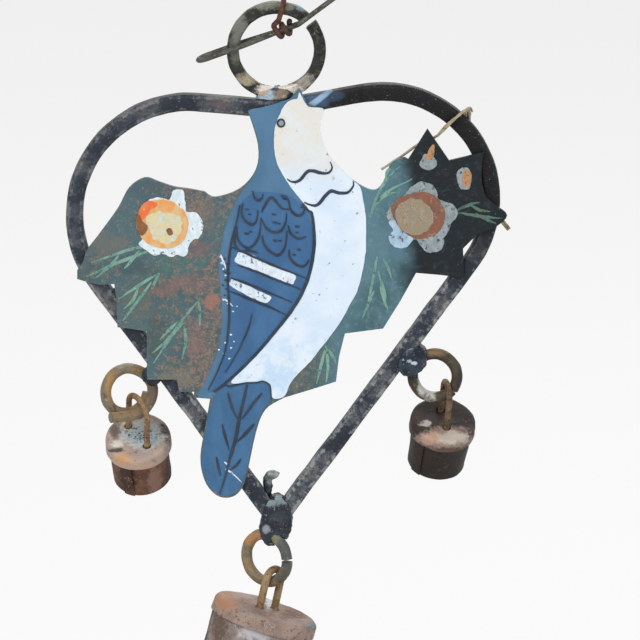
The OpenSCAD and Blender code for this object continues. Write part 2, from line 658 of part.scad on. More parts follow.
module left_bail() { color(rust_wire) bail(LEFT); }
module left_cap() { color(cap_tin) cap(LEFT); }
module left_shell() { color(shell_tin) shell(LEFT); }
module left_clapper_loop() { color(rust_wire) clapper_loop(LEFT); }
module left_clapper_rod() { color(rust_wire) clapper_rod(LEFT); }
module left_clapper_bob() { color(iron_grey) clapper_bob(LEFT); }
module right_bail() { color(rust_wire) bail(RIGHT); }
module right_cap() { color(dark_tin) cap(RIGHT); }
module right_shell() { color(dark_tin) shell(RIGHT); }
module right_clapper_loop() { color(rust_wire) clapper_loop(RIGHT); }
module right_clapper_rod() { color(rust_wire) clapper_rod(RIGHT); }
module right_clapper_bob() { color(iron_grey) clapper_bob(RIGHT); }
module bottom_bail() { color(rust_wire) bail(BOTTOM); }
module bottom_cap() { color(cap_tin) cap(BOTTOM); }
module bottom_shell() { color(shell_tin) shell(BOTTOM); }
module bottom_clapper_loop() { color(rust_wire) clapper_loop(BOTTOM); }
module bottom_clapper_rod() { color(rust_wire) clapper_rod(BOTTOM); }
module bottom_clapper_bob() { color(iron_grey) clapper_bob(BOTTOM); }

hairpin_wire_hook();
binding_wire();
top_ring();
top_weld();
frame_bar_left();
frame_bar_right();
apex_weld();
bird_panel();
panel_tacks();
straw_strand();
left_ring();
right_ring();
bottom_ring();
left_ring_weld();
right_ring_weld();
left_bail();
left_cap();
left_shell();
left_clapper_loop();
left_clapper_rod();
left_clapper_bob();
right_bail();
right_cap();
right_shell();
right_clapper_loop();
right_clapper_rod();
right_clapper_bob();
bottom_bail();
bottom_cap();
bottom_shell();
bottom_clapper_loop();
bottom_clapper_rod();
bottom_clapper_bob();
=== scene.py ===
# %% [markdown]
# A hanging heart of black iron bar with a painted bird cut from sheet, three rings welded to the bar,
# and three small tin bells on wire bails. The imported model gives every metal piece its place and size.
# Here the pieces get their finishes, the bars get their worn edges, and the bird gets its paint.

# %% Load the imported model
import math

import bmesh
import bpy
from mathutils import Matrix, Vector, noise


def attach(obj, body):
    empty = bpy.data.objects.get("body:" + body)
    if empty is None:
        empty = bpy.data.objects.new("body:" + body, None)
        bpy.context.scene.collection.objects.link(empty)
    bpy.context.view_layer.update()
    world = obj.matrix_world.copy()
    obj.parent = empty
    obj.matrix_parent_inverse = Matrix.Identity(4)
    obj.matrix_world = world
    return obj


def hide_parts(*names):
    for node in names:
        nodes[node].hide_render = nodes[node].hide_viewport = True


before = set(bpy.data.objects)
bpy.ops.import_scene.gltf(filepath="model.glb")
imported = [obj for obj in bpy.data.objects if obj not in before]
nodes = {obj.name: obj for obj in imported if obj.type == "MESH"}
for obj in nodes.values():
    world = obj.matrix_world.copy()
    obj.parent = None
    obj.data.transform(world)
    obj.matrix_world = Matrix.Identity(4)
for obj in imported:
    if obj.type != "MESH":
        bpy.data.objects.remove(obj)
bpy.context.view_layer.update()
scene = bpy.context.scene
MM = 0.001
# Bars and brush strokes waver by a noise that starts anew each time, unless it is given a seed
noise.seed_set(3)

# %% [markdown]
# The heart hangs in the air, a little below the viewer's eye, and the viewer looks slightly down on it.
# A long lens from 2 m keeps the bars straight. The camera aims at the middle of the picture, which
# lies right of the hanging eye and well below it. Places that were read off the picture are given in its
# pixels, so the cell also keeps how a pixel and a place on the heart belong together.

# %% Camera
EYE_DISTANCE = 2.0
LOOK_DOWN = math.radians(13)
HALF_PICTURE = 320
PIXEL = 0.2333 * MM
ORIGIN_ACROSS = 284
ORIGIN_DOWN = -31.3
SEEN_ACROSS = Vector((1, 0, 0)) / PIXEL
SEEN_DOWN = Vector((0, -math.sin(LOOK_DOWN), -math.cos(LOOK_DOWN))) / PIXEL

aim = Vector((8.4 * MM, 0, -84.1 * MM))
camera = bpy.data.objects.new("camera", bpy.data.cameras.new("camera"))
scene.collection.objects.link(camera)
camera.location = aim + EYE_DISTANCE * Vector((0, -math.cos(LOOK_DOWN), math.sin(LOOK_DOWN)))
camera.rotation_euler = (math.pi / 2 - LOOK_DOWN, 0, 0)
camera.data.lens = camera.data.sensor_width / 2 / (HALF_PICTURE * PIXEL / EYE_DISTANCE)
camera.data.clip_start = 0.01
scene.camera = camera
print("lens", round(camera.data.lens), "mm")


def seen_at(across, down, depth):
    """The place that the camera sees at a pixel, depth behind the plane of the heart."""
    height = -((down - ORIGIN_DOWN) * PIXEL + depth * math.sin(LOOK_DOWN)) / math.cos(LOOK_DOWN)
    return Vector(((across - ORIGIN_ACROSS) * PIXEL, depth, height))


# %% [markdown]
# Colours are written as they look on screen, from 0 to 255, and turned into the linear numbers that
# Blender mixes.


# %% Colours
def ink(red, green, blue):
    """The linear colour of what looks like this on screen."""
    linear = [((v / 255 + 0.055) / 1.055) ** 2.4 if v > 10 else v / 255 / 12.92 for v in (red, green, blue)]
    return (*linear, 1)


def dimmed(tone, share):
    return (*[share * part for part in tone[:3]], 1)


# %% [markdown]
# A finish is a sum of patterns. A small class wraps a shader socket, so that such a sum can be written as
# a sum: each plus or times adds a Math node. above() is the other half of it, and turns a cloud into spots.


# %% Values
class Value:
    """One output socket of a tree. Sums and products of values add Math nodes."""

    def __init__(self, shading, socket):
        self.shading = shading
        self.socket = socket

    def math(self, operation, first, second):
        return self.shading.node("ShaderNodeMath", {"operation": operation}, {0: first, 1: second})

    def __add__(self, other):
        return self.math("ADD", self, other)

    def __sub__(self, other):
        return self.math("SUBTRACT", self, other)

    def __rsub__(self, other):
        return self.math("SUBTRACT", other, self)

    def __mul__(self, other):
        return self.math("MULTIPLY", self, other)

    __radd__ = __add__
    __rmul__ = __mul__

    def at_least(self, other):
        return self.math("MAXIMUM", self, other)

    def above(self, level, soft=0.03):
        """1 where the value is over the level, 0 where it is under it, with a soft step between."""
        return self.shading.node(
            "ShaderNodeMapRange",
            {"interpolation_type": "SMOOTHSTEP"},
            {"Value": self, "From Min": level - soft, "From Max": level + soft},
        )


# %% [markdown]
# The room's light and every finish are trees of shader nodes. One method adds a node, sets it up and feeds
# its sockets with values or with links, so that the rest of the script never names a link.


# %% Shader trees
class Shading:
    """A tree of shader nodes, for the room or for a finish."""

    def __init__(self, owner):
        owner.use_nodes = True
        self.tree = owner.node_tree

    def node(self, kind, settings, inputs, output=0):
        node = self.tree.nodes.new(kind)
        for name, value in settings.items():
            setattr(node, name, value)
        for name, value in inputs.items():
            self.feed(node.inputs[name], value)
        return Value(self, node.outputs[output])

    def feed(self, socket, value):
        if isinstance(value, Value):
            self.tree.links.new(value.socket, socket)
        else:
            socket.default_value = value

    def seen_directly(self):
        """1 for what the camera sees, also in metal or through glass, and 0 for what lights the object."""
        camera_ray = self.node("ShaderNodeLightPath", {}, {}, "Is Camera Ray")
        through = self.node("ShaderNodeLightPath", {}, {}, "Is Transmission Ray")
        mirrored = self.node("ShaderNodeLightPath", {}, {}, "Is Glossy Ray")
        return camera_ray.at_least(through).at_least(mirrored)

    def blend(self, share, under, over):
        """Mixes two shaders."""
        return self.node("ShaderNodeMixShader", {}, {0: share, 1: under, 2: over})

    def surface(self, output_node, shader):
        self.feed(self.tree.nodes[output_node].inputs["Surface"], shader)


# %% [markdown]
# A finish is a material whose patterns are sized in metres on the piece, so that a speck of rust is as
# large on a ring as on a bell. A touch puts a tone where the picture has it: the camera's view of each
# point is worked out in the shader, and a ragged round patch is laid over a pixel.


# %% Finishes
class Finish(Shading):
    """A material made from patterns that are sized in metres on the piece itself."""

    def __init__(self, name, roughness, metallic=0.0):
        self.material = bpy.data.materials.new(name)
        super().__init__(self.material)
        self.shader = self.tree.nodes["Principled BSDF"]
        self.set("Roughness", roughness)
        self.set("Metallic", metallic)
        self.set("Specular IOR Level", 0.25)
        self.place = self.node("ShaderNodeTexCoord", {}, {}, "Object")

    def set(self, name, value):
        self.feed(self.shader.inputs[name], value)

    def along(self, axis):
        """How far the place lies along X, Y or Z, in metres."""
        return self.node("ShaderNodeSeparateXYZ", {}, {"Vector": self.place}, axis)

    def noise(self, size_mm, detail=4, rough=0.55, shift=0.0, stretch=(1, 1, 1)):
        """A cloud pattern from 0 to 1. A shift makes it differ from its neighbours."""
        inputs = {"Vector": self.place, "Location": (shift, shift, shift), "Scale": stretch}
        placed = self.node("ShaderNodeMapping", {}, inputs)
        inputs = {"Vector": placed, "Scale": 1 / (size_mm * MM), "Detail": detail, "Roughness": rough}
        return self.node("ShaderNodeTexNoise", {}, inputs)

    def seen(self, way, start):
        """The pixel at which the camera sees the place, across or down."""
        inputs = {0: self.place, 1: way}
        return self.node("ShaderNodeVectorMath", {"operation": "DOT_PRODUCT"}, inputs, 1) + start

    def touch(self, across, down, half_across, half_down, ragged=1.6, soft=0.7):
        """1 inside a ragged round patch that the camera sees at a pixel, with its half width and height."""
        east = (self.seen(SEEN_ACROSS, ORIGIN_ACROSS) - across) * (1 / half_across)
        south = (self.seen(SEEN_DOWN, ORIGIN_DOWN) - down) * (1 / half_down)
        far = east * east + south * south
        patchy = self.noise(0.7, 4, 0.75, across * 0.01) + self.noise(2.4, 2, 0.5, down * 0.01) - 1
        return 1 - (far + patchy * (ragged * 2)).above(1, soft)

    def mix(self, share, under, over):
        return self.node("ShaderNodeMix", {"data_type": "RGBA"}, {0: share, 6: under, 7: over}, 2)

    def bump(self, height, depth_mm):
        self.set("Normal", self.node("ShaderNodeBump", {}, {"Height": height, "Distance": depth_mm * MM}))

    def on(self, *things):
        for thing in things:
            thing.data.materials.clear()
            thing.data.materials.append(self.material)


# %% [markdown]
# Plain soft daylight: a pale world, a large soft lamp from the upper left, a weaker one from the right and
# one behind. What the camera sees of the world is brighter than the light that it gives, so that the
# background is pale and the object keeps its own tones.

# %% Light
world = bpy.data.worlds.new("pale room")
scene.world = world
scene.view_settings.view_transform = "Standard"
room = Shading(world)
daylight = room.node("ShaderNodeBackground", {}, {"Color": (0.93, 0.95, 1.0, 1), "Strength": 0.5})
backdrop = room.node("ShaderNodeBackground", {}, {"Color": (0.9, 0.9, 0.89, 1)})
room.surface("World Output", room.blend(room.seen_directly(), daylight, backdrop))


def lamp(name, place, size, watts, colour):
    light = bpy.data.lights.new(name, "AREA")
    light.size = size
    light.energy = watts
    light.color = colour
    holder = bpy.data.objects.new(name, light)
    scene.collection.objects.link(holder)
    holder.location = place
    holder.rotation_euler = (aim - Vector(place)).to_track_quat("-Z", "Y").to_euler()
    print("lamp", name, watts, "W")


lamp("window", (-0.5, -0.9, 0.75), 0.7, 10.7, (1.0, 0.98, 0.95))
lamp("wall", (0.9, -0.7, 0.2), 0.8, 3.6, (0.95, 0.97, 1.0))
lamp("back", (0.2, 0.9, 0.6), 0.6, 4, (1.0, 1.0, 1.0))

# %% [markdown]
# A wide, plain floor lies far below the bells. Seen by the camera it glows a little, so that the background
# stays as white as the room, and it keeps a faint shadow. From below it is clear, so that it never hides
# the bells.

# %% Floor
FLOOR_HALF = 4
FLOOR_LEVEL = -0.32
GLOW_SHARE = 0.75


def new_object(name, shape):
    """Turns a finished bmesh into an object at the origin."""
    mesh = bpy.data.meshes.new(name)
    shape.to_mesh(mesh)
    shape.free()
    thing = bpy.data.objects.new(name, mesh)
    scene.collection.objects.link(thing)
    return thing


floor_shape = bmesh.new()
bmesh.ops.create_grid(floor_shape, x_segments=1, y_segments=1, size=FLOOR_HALF)
bmesh.ops.translate(floor_shape, verts=floor_shape.verts, vec=(0, 0, FLOOR_LEVEL))
floor = new_object("floor", floor_shape)

pale = Finish("pale floor", 0.9)
pale.set("Base Color", (0.86, 0.86, 0.85, 1))
matt = Value(pale, pale.shader.outputs[0])
glow = pale.node("ShaderNodeEmission", {}, {"Color": (1, 1, 0.99, 1)})
lit = pale.blend(pale.seen_directly() * GLOW_SHARE, matt, glow)
underside = pale.node("ShaderNodeNewGeometry", {}, {}, "Backfacing")
clear = pale.node("ShaderNodeBsdfTransparent", {}, {})
pale.surface("Material Output", pale.blend(underside, lit, clear))
pale.on(floor)

# %% [markdown]
# Old iron is never one colour. Each metal finish starts from a base, gets a slow blotch, then small
# specks of rust or dust, and a bump of the same specks, so that the light breaks up where the colour does.
# Worn or dusty places that the picture shows are touched in on top, at their own pixels, and on some
# pieces so are painted highlights and painted shade.


# %% Old metal
# The pale room lays a sheen over every metal, so the colours under it are taken down by these shares
SHEEN_SHARE = 0.72
TOUCH_SHEEN_SHARE = 0.8


def old_metal(name, node_names, tones, blotch_mm, speck_level, rough, metallic, depth_mm, dust_level=0.62,
        touches=(), flecks=()):
    """tones are the base, the blotch, the specks and the dust. A touch is a pixel across and down, a half
    width and height, and a tone. Flecks are touches that only the smallest specks take."""
    base, blotch, speck, dust = [dimmed(ink(*tone), SHEEN_SHARE) for tone in tones]
    finish = Finish(name, rough, metallic)
    slow = finish.noise(blotch_mm, 3)
    fine = finish.noise(1.1, 5, 0.7, 0.3)
    grit = finish.noise(0.45, 3, 0.6, 0.7)
    colour = finish.mix(slow.above(0.5, 0.12), base, blotch)
    colour = finish.mix(fine.above(speck_level, 0.05), colour, speck)
    for across, down, half_across, half_down, tone in touches:
        share = finish.touch(across, down, half_across, half_down)
        colour = finish.mix(share, colour, dimmed(ink(*tone), TOUCH_SHEEN_SHARE))
    for across, down, half_across, half_down, tone in flecks:
        small = (grit * 0.5 + fine * 0.5).above(0.535, 0.02)
        share = finish.touch(across, down, half_across, half_down, 0.6) * small
        colour = finish.mix(share, colour, ink(*tone))
    colour = finish.mix((grit * 0.6 + slow * 0.4).above(dust_level, 0.03), colour, dust)
    finish.set("Base Color", colour)
    finish.set("Roughness", fine * 0.3 + (rough - 0.12))
    finish.bump(fine * 0.7 + grit * 0.5, depth_mm)
    finish.on(*[nodes[node_name] for node_name in node_names])
    print(name, "on", len(node_names), "pieces")


# %% [markdown]
# The wires first. The grey hairpin and the brown binding wire are from different coils, and the bails are
# the golden colour that thin wire takes in the rain. The clappers are made of the same two wires.

# %% Wires
clappers = [side + "_clapper_" for side in ("left", "right", "bottom")]
clapper_bobs = [clapper + "bob" for clapper in clappers]
clapper_wires = [clapper + part for clapper in clappers for part in ("loop", "rod")]
old_metal(
    "grey hairpin wire", ["hairpin_wire_hook"] + clapper_bobs,
    [(98, 100, 92), (66, 68, 66), (140, 118, 88), (165, 163, 150)],
    blotch_mm=3, speck_level=0.6, rough=0.5, metallic=0.3, depth_mm=0.08,
)
old_metal(
    "rusty brown binding wire", ["binding_wire"] + clapper_wires,
    [(104, 70, 58), (66, 50, 46), (150, 95, 60), (165, 130, 105)],
    blotch_mm=3, speck_level=0.6, rough=0.75, metallic=0.1, depth_mm=0.12,
)
old_metal(
    "golden rust of the bails", ["left_bail", "bottom_bail"],
    [(180, 152, 114), (140, 108, 80), (98, 70, 54), (208, 176, 136)],
    blotch_mm=3, speck_level=0.6, rough=0.7, metallic=0.1, depth_mm=0.12,
)
old_metal(
    "dark rust of the right bail", ["right_bail"],
    [(150, 126, 98), (98, 76, 58), (70, 52, 42), (190, 164, 130)],
    blotch_mm=3, speck_level=0.58, rough=0.7, metallic=0.1, depth_mm=0.12,
)

# %% [markdown]
# Each ring has weathered in its own way: the top one is nearly bare, with painted highlights where light from
# above falls on it, the left one is ochre, the right one is olive, and the bottom one is both.

# %% Rings
old_metal(
    "grey-green iron of the top ring", ["top_ring"],
    [(54, 56, 54), (32, 34, 36), (88, 84, 68), (150, 150, 134)],
    blotch_mm=5, speck_level=0.57, rough=0.5, metallic=0.3, depth_mm=0.14, dust_level=0.6,
    touches=[
        # Painted highlights: light from above on the ring's top, down its left side and on its lower inner
        # face
        (280, 91, 24, 6, (236, 224, 212)), (247, 80, 12, 6, (170, 158, 134)),
        (305, 82, 9, 6, (164, 158, 146)), (235, 52, 5, 14, (104, 106, 94)),
        (306, 9, 9, 5, (126, 140, 154)), (272, 8, 26, 5, (128, 130, 118)),
        (240, 28, 7, 18, (124, 126, 116)),
    ],
)
old_metal(
    "ochre rust of the left ring", ["left_ring"],
    [(162, 136, 100), (140, 132, 116), (104, 82, 62), (192, 178, 148)],
    blotch_mm=4, speck_level=0.62, rough=0.6, metallic=0.15, depth_mm=0.14,
    touches=[
        (120, 362, 12, 6, (170, 164, 140)), (154, 396, 6, 16, (120, 104, 90)),
        (110, 388, 4, 14, (176, 140, 92)), (108, 420, 8, 6, (122, 122, 104)),
    ],
)
old_metal(
    "olive brown of the right ring", ["right_ring"],
    [(88, 78, 64), (62, 60, 52), (112, 90, 64), (160, 152, 134)],
    blotch_mm=4, speck_level=0.6, rough=0.55, metallic=0.2, depth_mm=0.14,
    touches=[
        (428, 385, 9, 15, (196, 196, 188)), (462, 380, 5, 16, (58, 56, 50)),
        (436, 352, 10, 5, (132, 108, 80)),
    ],
)
old_metal(
    "ochre and grey of the bottom ring", ["bottom_ring"],
    [(164, 142, 108), (140, 134, 110), (120, 90, 64), (190, 176, 146)],
    blotch_mm=4, speck_level=0.62, rough=0.6, metallic=0.15, depth_mm=0.14,
    touches=[
        (288, 552, 10, 22, (92, 96, 96)), (286, 578, 10, 8, (104, 100, 90)),
        (252, 540, 10, 7, (190, 140, 100)),
    ],
)

# %% [markdown]
# The bells are thin tin. Their lids have a pink and beige patina, and the left one has a pale worn face; the
# pale face of the right lid and the white spot on the bottom one are painted highlights. Their bodies run
# from brown on the left to nearly black on the right, which is painted shade, and a greyish lilac at the
# bottom.
# The dark sides of the left bell are painted shade too.

# %% Caps and shells
old_metal(
    "pinkish beige patina of the left cap", ["left_cap"],
    [(208, 184, 166), (188, 168, 156), (130, 104, 90), (190, 196, 198)],
    blotch_mm=5, speck_level=0.62, rough=0.62, metallic=0.15, depth_mm=0.16, dust_level=0.6,
    touches=[
        (138, 434, 22, 13, (222, 224, 220)), (142, 437, 15, 10, (208, 222, 228)),
        (121, 459, 8, 5, (214, 166, 126)), (116, 444, 7, 3.5, (236, 232, 218)),
        # Painted shade: (114, 430), the dark patch at the upper left, and (168, 428), the band down the right
        # side
        (116, 451, 9, 2.2, (96, 86, 80)), (114, 430, 7, 10, (120, 108, 98)),
        (168, 428, 7, 15, (84, 76, 70)), (140, 466, 22, 4, (204, 172, 150)),
    ],
    flecks=[(140, 435, 17, 9, (62, 66, 68))],
)
old_metal(
    "pinkish brown patina of the bottom cap", ["bottom_cap"],
    [(182, 158, 144), (160, 136, 122), (116, 90, 78), (180, 178, 178)],
    blotch_mm=5, speck_level=0.6, rough=0.62, metallic=0.15, depth_mm=0.16, dust_level=0.6,
    touches=[
        # Painted highlight: the small white touch at (270, 606)
        (226, 602, 12, 9, (186, 140, 106)), (270, 606, 5, 5, (226, 228, 230)),
        (246, 594, 16, 6, (184, 164, 152)), (296, 616, 16, 5, (128, 98, 84)),
        (312, 628, 6, 5, (126, 128, 126)),
    ],
)
old_metal(
    "right cap in painted shade with a painted highlight", ["right_cap"],
    # Painted shade: the nearly black base and blotch stand for the shade that this bell hangs in
    [(72, 60, 55), (54, 46, 43), (90, 70, 60), (150, 130, 116)],
    blotch_mm=5, speck_level=0.62, rough=0.55, metallic=0.1, depth_mm=0.16, dust_level=0.66,
    # Painted highlights on the lit face and at the slot, painted shade under the face and in the slot
    touches=[
        (446, 440, 28, 12, (160, 138, 126)), (434, 438, 13, 6, (196, 160, 140)),
        (454, 438, 15, 7, (200, 188, 174)), (440, 453, 28, 5, (104, 80, 72)),
        (425, 424, 6, 3.4, (196, 188, 182)), (421, 429, 8, 2.6, (56, 46, 42)),
    ],
)
old_metal(
    "brown rust of the left bell", ["left_shell"],
    [(126, 90, 72), (100, 70, 56), (156, 112, 88), (170, 134, 116)],
    blotch_mm=5, speck_level=0.6, rough=0.7, metallic=0.1, depth_mm=0.18,
    touches=[
        # Painted highlight down the middle of the body and painted shade at each side
        (154, 482, 7, 16, (150, 116, 98)), (170, 478, 5, 24, (66, 54, 48)),
        (126, 478, 9, 16, (70, 48, 38)),
    ],
)
old_metal(
    "brown of the right bell in painted shade", ["right_shell"],
    # Painted shade: the bell hangs in shade, so its brown is painted nearly black
    [(60, 50, 45), (44, 38, 35), (84, 64, 54), (120, 100, 88)],
    blotch_mm=5, speck_level=0.62, rough=0.6, metallic=0.1, depth_mm=0.16, dust_level=0.68,
)
old_metal(
    "grey-lilac patina of the bottom bell", ["bottom_shell"],
    [(170, 156, 150), (136, 118, 108), (108, 80, 66), (190, 184, 188)],
    blotch_mm=6, speck_level=0.6, rough=0.62, metallic=0.15, depth_mm=0.16, dust_level=0.6,
    touches=[
        (218, 628, 6, 22, (112, 92, 82)), (256, 628, 18, 14, (196, 192, 196)),
        (300, 634, 12, 10, (148, 112, 94)),
    ],
)

# %% [markdown]
# Weld metal is harder and bluer than the bar. At the point and on the right ring, its pale touches are
# painted highlights and its black ones painted shade, in its folds and in the hole at the point.

# %% Welds
old_metal(
    "blue-grey top weld", ["top_weld"],
    [(84, 94, 104), (58, 64, 72), (120, 96, 78), (160, 170, 178)],
    blotch_mm=3, speck_level=0.62, rough=0.4, metallic=0.2, depth_mm=0.1, dust_level=0.6,
    touches=[
        (267, 99, 10, 7, (176, 192, 204)), (282, 96, 8, 5, (146, 132, 112)), (294, 97, 6, 8, (44, 50, 58)),
        (262, 94, 6, 2.4, (204, 166, 138)),
    ],
)
old_metal(
    "blue-black weld at the point", ["apex_weld"],
    [(62, 70, 80), (42, 46, 54), (96, 92, 86), (150, 160, 166)],
    blotch_mm=2.4, speck_level=0.62, rough=0.34, metallic=0.25, depth_mm=0.1,
    touches=[
        # Painted highlights: the pale touches; painted shade: the black hole and the dark fold
        (272, 502, 15, 5, (138, 154, 160)), (271, 496, 4, 4, (26, 28, 32)),
        (277, 478, 10, 9, (156, 162, 162)), (262, 512, 5, 8, (40, 46, 56)),
        (266, 530, 4, 4, (150, 156, 160)),
    ],
)
old_metal(
    "blue weld of the right ring", ["right_ring_weld"],
    [(62, 72, 86), (38, 44, 54), (100, 110, 120), (170, 182, 192)],
    blotch_mm=2.2, speck_level=0.62, rough=0.3, metallic=0.25, depth_mm=0.1,
    touches=[
        # Painted glints and highlights: the pale touches; painted shade in a fold: the dark one
        (414, 363, 3, 1.6, (206, 218, 230)), (409, 361, 2, 1.4, (170, 186, 200)),
        (404, 347, 7, 5, (128, 144, 158)), (419, 353, 6, 6, (34, 42, 54)),
    ],
)
old_metal(
    "black weld metal", ["left_ring_weld", "panel_tacks"],
    [(58, 64, 74), (38, 40, 46), (92, 78, 66), (130, 138, 146)],
    blotch_mm=3, speck_level=0.63, rough=0.5, metallic=0.2, depth_mm=0.2, dust_level=0.64,
)

# %% [markdown]
# Weld metal freezes in lumps, and old tin is dented. The lumps are rounded over and pushed about by a
# cloud pattern, and the caps, shells and rings get a much weaker push of their own. None of it is more
# than a few tenths of a millimetre.


# %% Lumps and dents
def clouds(name, size_mm):
    pattern = bpy.data.textures.new(name, "CLOUDS")
    pattern.noise_scale = size_mm * MM
    return pattern


def push(thing, pattern, depth_mm):
    shove = thing.modifiers.new("push", "DISPLACE")
    shove.texture = pattern
    shove.strength = depth_mm * MM
    shove.mid_level = 0.5


WELD_VOXEL = 0.22 * MM
lumps = clouds("weld lumps", 1.6)
beads = clouds("weld beads", 0.7)
dents = clouds("tin dents", 6)
pits = clouds("forge pits", 3)
for name in ["top_weld", "apex_weld", "right_ring_weld", "left_ring_weld"]:
    melt = nodes[name].modifiers.new("melt", "REMESH")
    melt.mode = "VOXEL"
    melt.voxel_size = WELD_VOXEL
    melt.use_smooth_shade = True
    even = nodes[name].modifiers.new("even", "SMOOTH")
    even.iterations = 6
    push(nodes[name], lumps, depth_mm=0.8)
    push(nodes[name], beads, depth_mm=0.18)
for name in ["left_cap", "right_cap", "bottom_cap", "left_shell", "right_shell", "bottom_shell"]:
    split = nodes[name].modifiers.new("split", "SUBSURF")
    split.subdivision_type = "SIMPLE"
    split.levels = 2
    split.render_levels = 2
    push(nodes[name], dents, depth_mm=0.5)
for name in ["top_ring", "left_ring", "right_ring", "bottom_ring"]:
    push(nodes[name], pits, depth_mm=0.35)
print("pushed", sum(1 for node in nodes.values() if "push" in node.modifiers), "pieces")

# %% [markdown]
# The straw is a small bundle of dry strands that lie on one another's shoulder. They are bent over the
# bar together, a little apart at the far end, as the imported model's single strand is. A smooth line is
# drawn through the given points, and a circle that is copied along it is bridged to its last copy.


# %% Smooth lines
STRAND_SIDES = 8
STRAND_UNEVEN = 0.2
STRAND_LUMPS_PER_M = 900


def eased(points, steps, closed):
    """A smooth line through the points, with so many steps from each point to the next."""
    count = len(points)
    line = []
    for i in range(count if closed else count - 1):
        near = range(i - 1, i + 3)
        a, b, c, d = [points[j % count] if closed else points[min(max(j, 0), count - 1)] for j in near]
        for step in range(steps):
            t = step / steps
            bend = (2 * a - 5 * b + 4 * c - d) * t * t + (3 * b - a - 3 * c + d) * t ** 3
            line.append(0.5 * (2 * b + (c - a) * t + bend))
    return line if closed else line + [points[-1]]


def rim_of(circle):
    """The edges between the points of a circle."""
    return list({edge for v in circle for edge in v.link_edges if edge.other_vert(v) in circle})


def add_strand(shape, line, half):
    """A round strand along the line, whose thickness is a little uneven."""
    last = None
    for i, spot in enumerate(line):
        way = (line[min(i + 1, len(line) - 1)] - line[max(i - 1, 0)]).normalized()
        radius = half * (0.9 + STRAND_UNEVEN * noise.noise(spot * STRAND_LUMPS_PER_M))
        made = bmesh.ops.create_circle(shape, cap_ends=False, segments=STRAND_SIDES, radius=radius)
        circle = made["verts"]
        turn = way.to_track_quat("Z", "Y").to_matrix().to_4x4()
        turn.translation = spot
        bmesh.ops.transform(shape, matrix=turn, verts=circle)
        if last:
            bmesh.ops.bridge_loops(shape, edges=rim_of(last) + rim_of(circle))
        last = circle


# %% [markdown]
# Each point of the way is a pixel across and down and a depth in millimetres. Each strand is given by its
# place beside the way and in front of it, the first and last point that it follows, and its half width.

# %% Straw
SIDE_SHARE = 0.72
RISE_SHARE = 0.5
straw_way = [
    (508, 230, 3.2), (498, 216, 3.4), (489, 190, 3.6), (478, 156, 3.6), (468, 127, 3.4), (467.5, 115, 1.6),
    (464.5, 111.5, -0.8), (457, 117, -2.8), (449, 124, -3.1), (442, 131.5, -2.6), (436, 137, -1.4),
    (428, 141, -0.8), (418, 145, -0.8), (404, 155, -0.8), (392, 163, -0.8), (381, 170, -0.8),
]
strands = [
    (0, 0, 0, 16, 0.34), (0.6, 0.1, 0, 11, 0.3), (-0.7, 0.05, 2, 12, 0.3), (0.2, 0.4, 4, 11, 0.36),
    (1.3, -0.1, 5, 10, 0.28), (-1.2, 0.1, 5, 10, 0.26),
]
straw_shape = bmesh.new()
for beside, before, first, stop, half in strands:
    shift = Vector((beside * SIDE_SHARE, -before, beside * RISE_SHARE)) * MM
    route = [seen_at(across, down, depth * MM) + shift for across, down, depth in straw_way[first:stop]]
    add_strand(straw_shape, eased(route, 6, False), half * MM)
straw = new_object("straw_bundle", straw_shape)
straw.data.shade_smooth()
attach(straw, "heart")
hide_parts("straw_strand")
print("straw", len(strands), "strands,", len(straw.data.polygons), "faces")

dry_straw = Finish("dry grey straw", 0.8)
fibre = dry_straw.noise(0.5, 4, 0.7, 0.2)
slow = dry_straw.noise(3, 3, 0.5)
stalk = dry_straw.mix(fibre.above(0.52, 0.1), ink(158, 144, 118), ink(120, 106, 84))
dry_straw.set("Base Color", dry_straw.mix(slow.above(0.5, 0.15), stalk, ink(182, 170, 142)))
dry_straw.bump(fibre, 0.1)
dry_straw.on(straw)

# %% [markdown]
# The heart was bent from square bar, whose long edges are rounded and rubbed down to bare metal. Each
# half is one run of bar: out along the shoulder, round the lobe, and straight down to the point. A small
# square with rounded corners is extruded along the straights and spun round the lobe, as a bender does it.
# Its corners carry a number of their own, worn, that the paint reads later.

# %% Bars of the heart
BAR = 4 * MM
BAR_ROUND = 0.8 * MM
HALF_LEFT = 49 * MM
HALF_RIGHT = 52 * MM
HEART_DROP = 98.5 * MM
SHOULDER_STEPS = 8
LOBE_STEPS = 72
LEG_STEPS = 44
NOTCH = Vector((-1.7 * MM, 0, -33.78 * MM))
POINT = NOTCH - Vector((0, 0, HEART_DROP))
# How wide and how deep the dents of the hammer are, in millimetres
HAMMERED = [(6, 0.14), (1.6, 0.05)]


def points_in(geometry):
    return [part for part in geometry if isinstance(part, bmesh.types.BMVert)]


def faces_in(geometry):
    return [part for part in geometry if isinstance(part, bmesh.types.BMFace)]


def bar_end(shape, way):
    """The square end of a bar at the notch, turned to face along the way. Returns its faces."""
    worn = shape.verts.layers.float.new("worn")
    bmesh.ops.create_grid(shape, x_segments=2, y_segments=2, size=BAR / 2)
    bmesh.ops.dissolve_verts(shape, verts=[v for v in shape.verts if v.co.length < 0.1 * BAR])
    corners = [v for v in shape.verts if abs(v.co.x) > 0.4 * BAR and abs(v.co.y) > 0.4 * BAR]
    bmesh.ops.bevel(
        shape, geom=corners, offset=BAR_ROUND, segments=3, profile=0.5, affect="VERTICES", material=-1,
    )
    for v in shape.verts:
        v[worn] = 1.0 if abs(v.co.x) > 0.3 * BAR and abs(v.co.y) > 0.3 * BAR else 0.0
    back = Vector((0, 1, 0))
    place = Matrix((back, -back.cross(way), way)).transposed().to_4x4()
    place.translation = NOTCH
    shape.transform(place)
    return list(shape.faces)


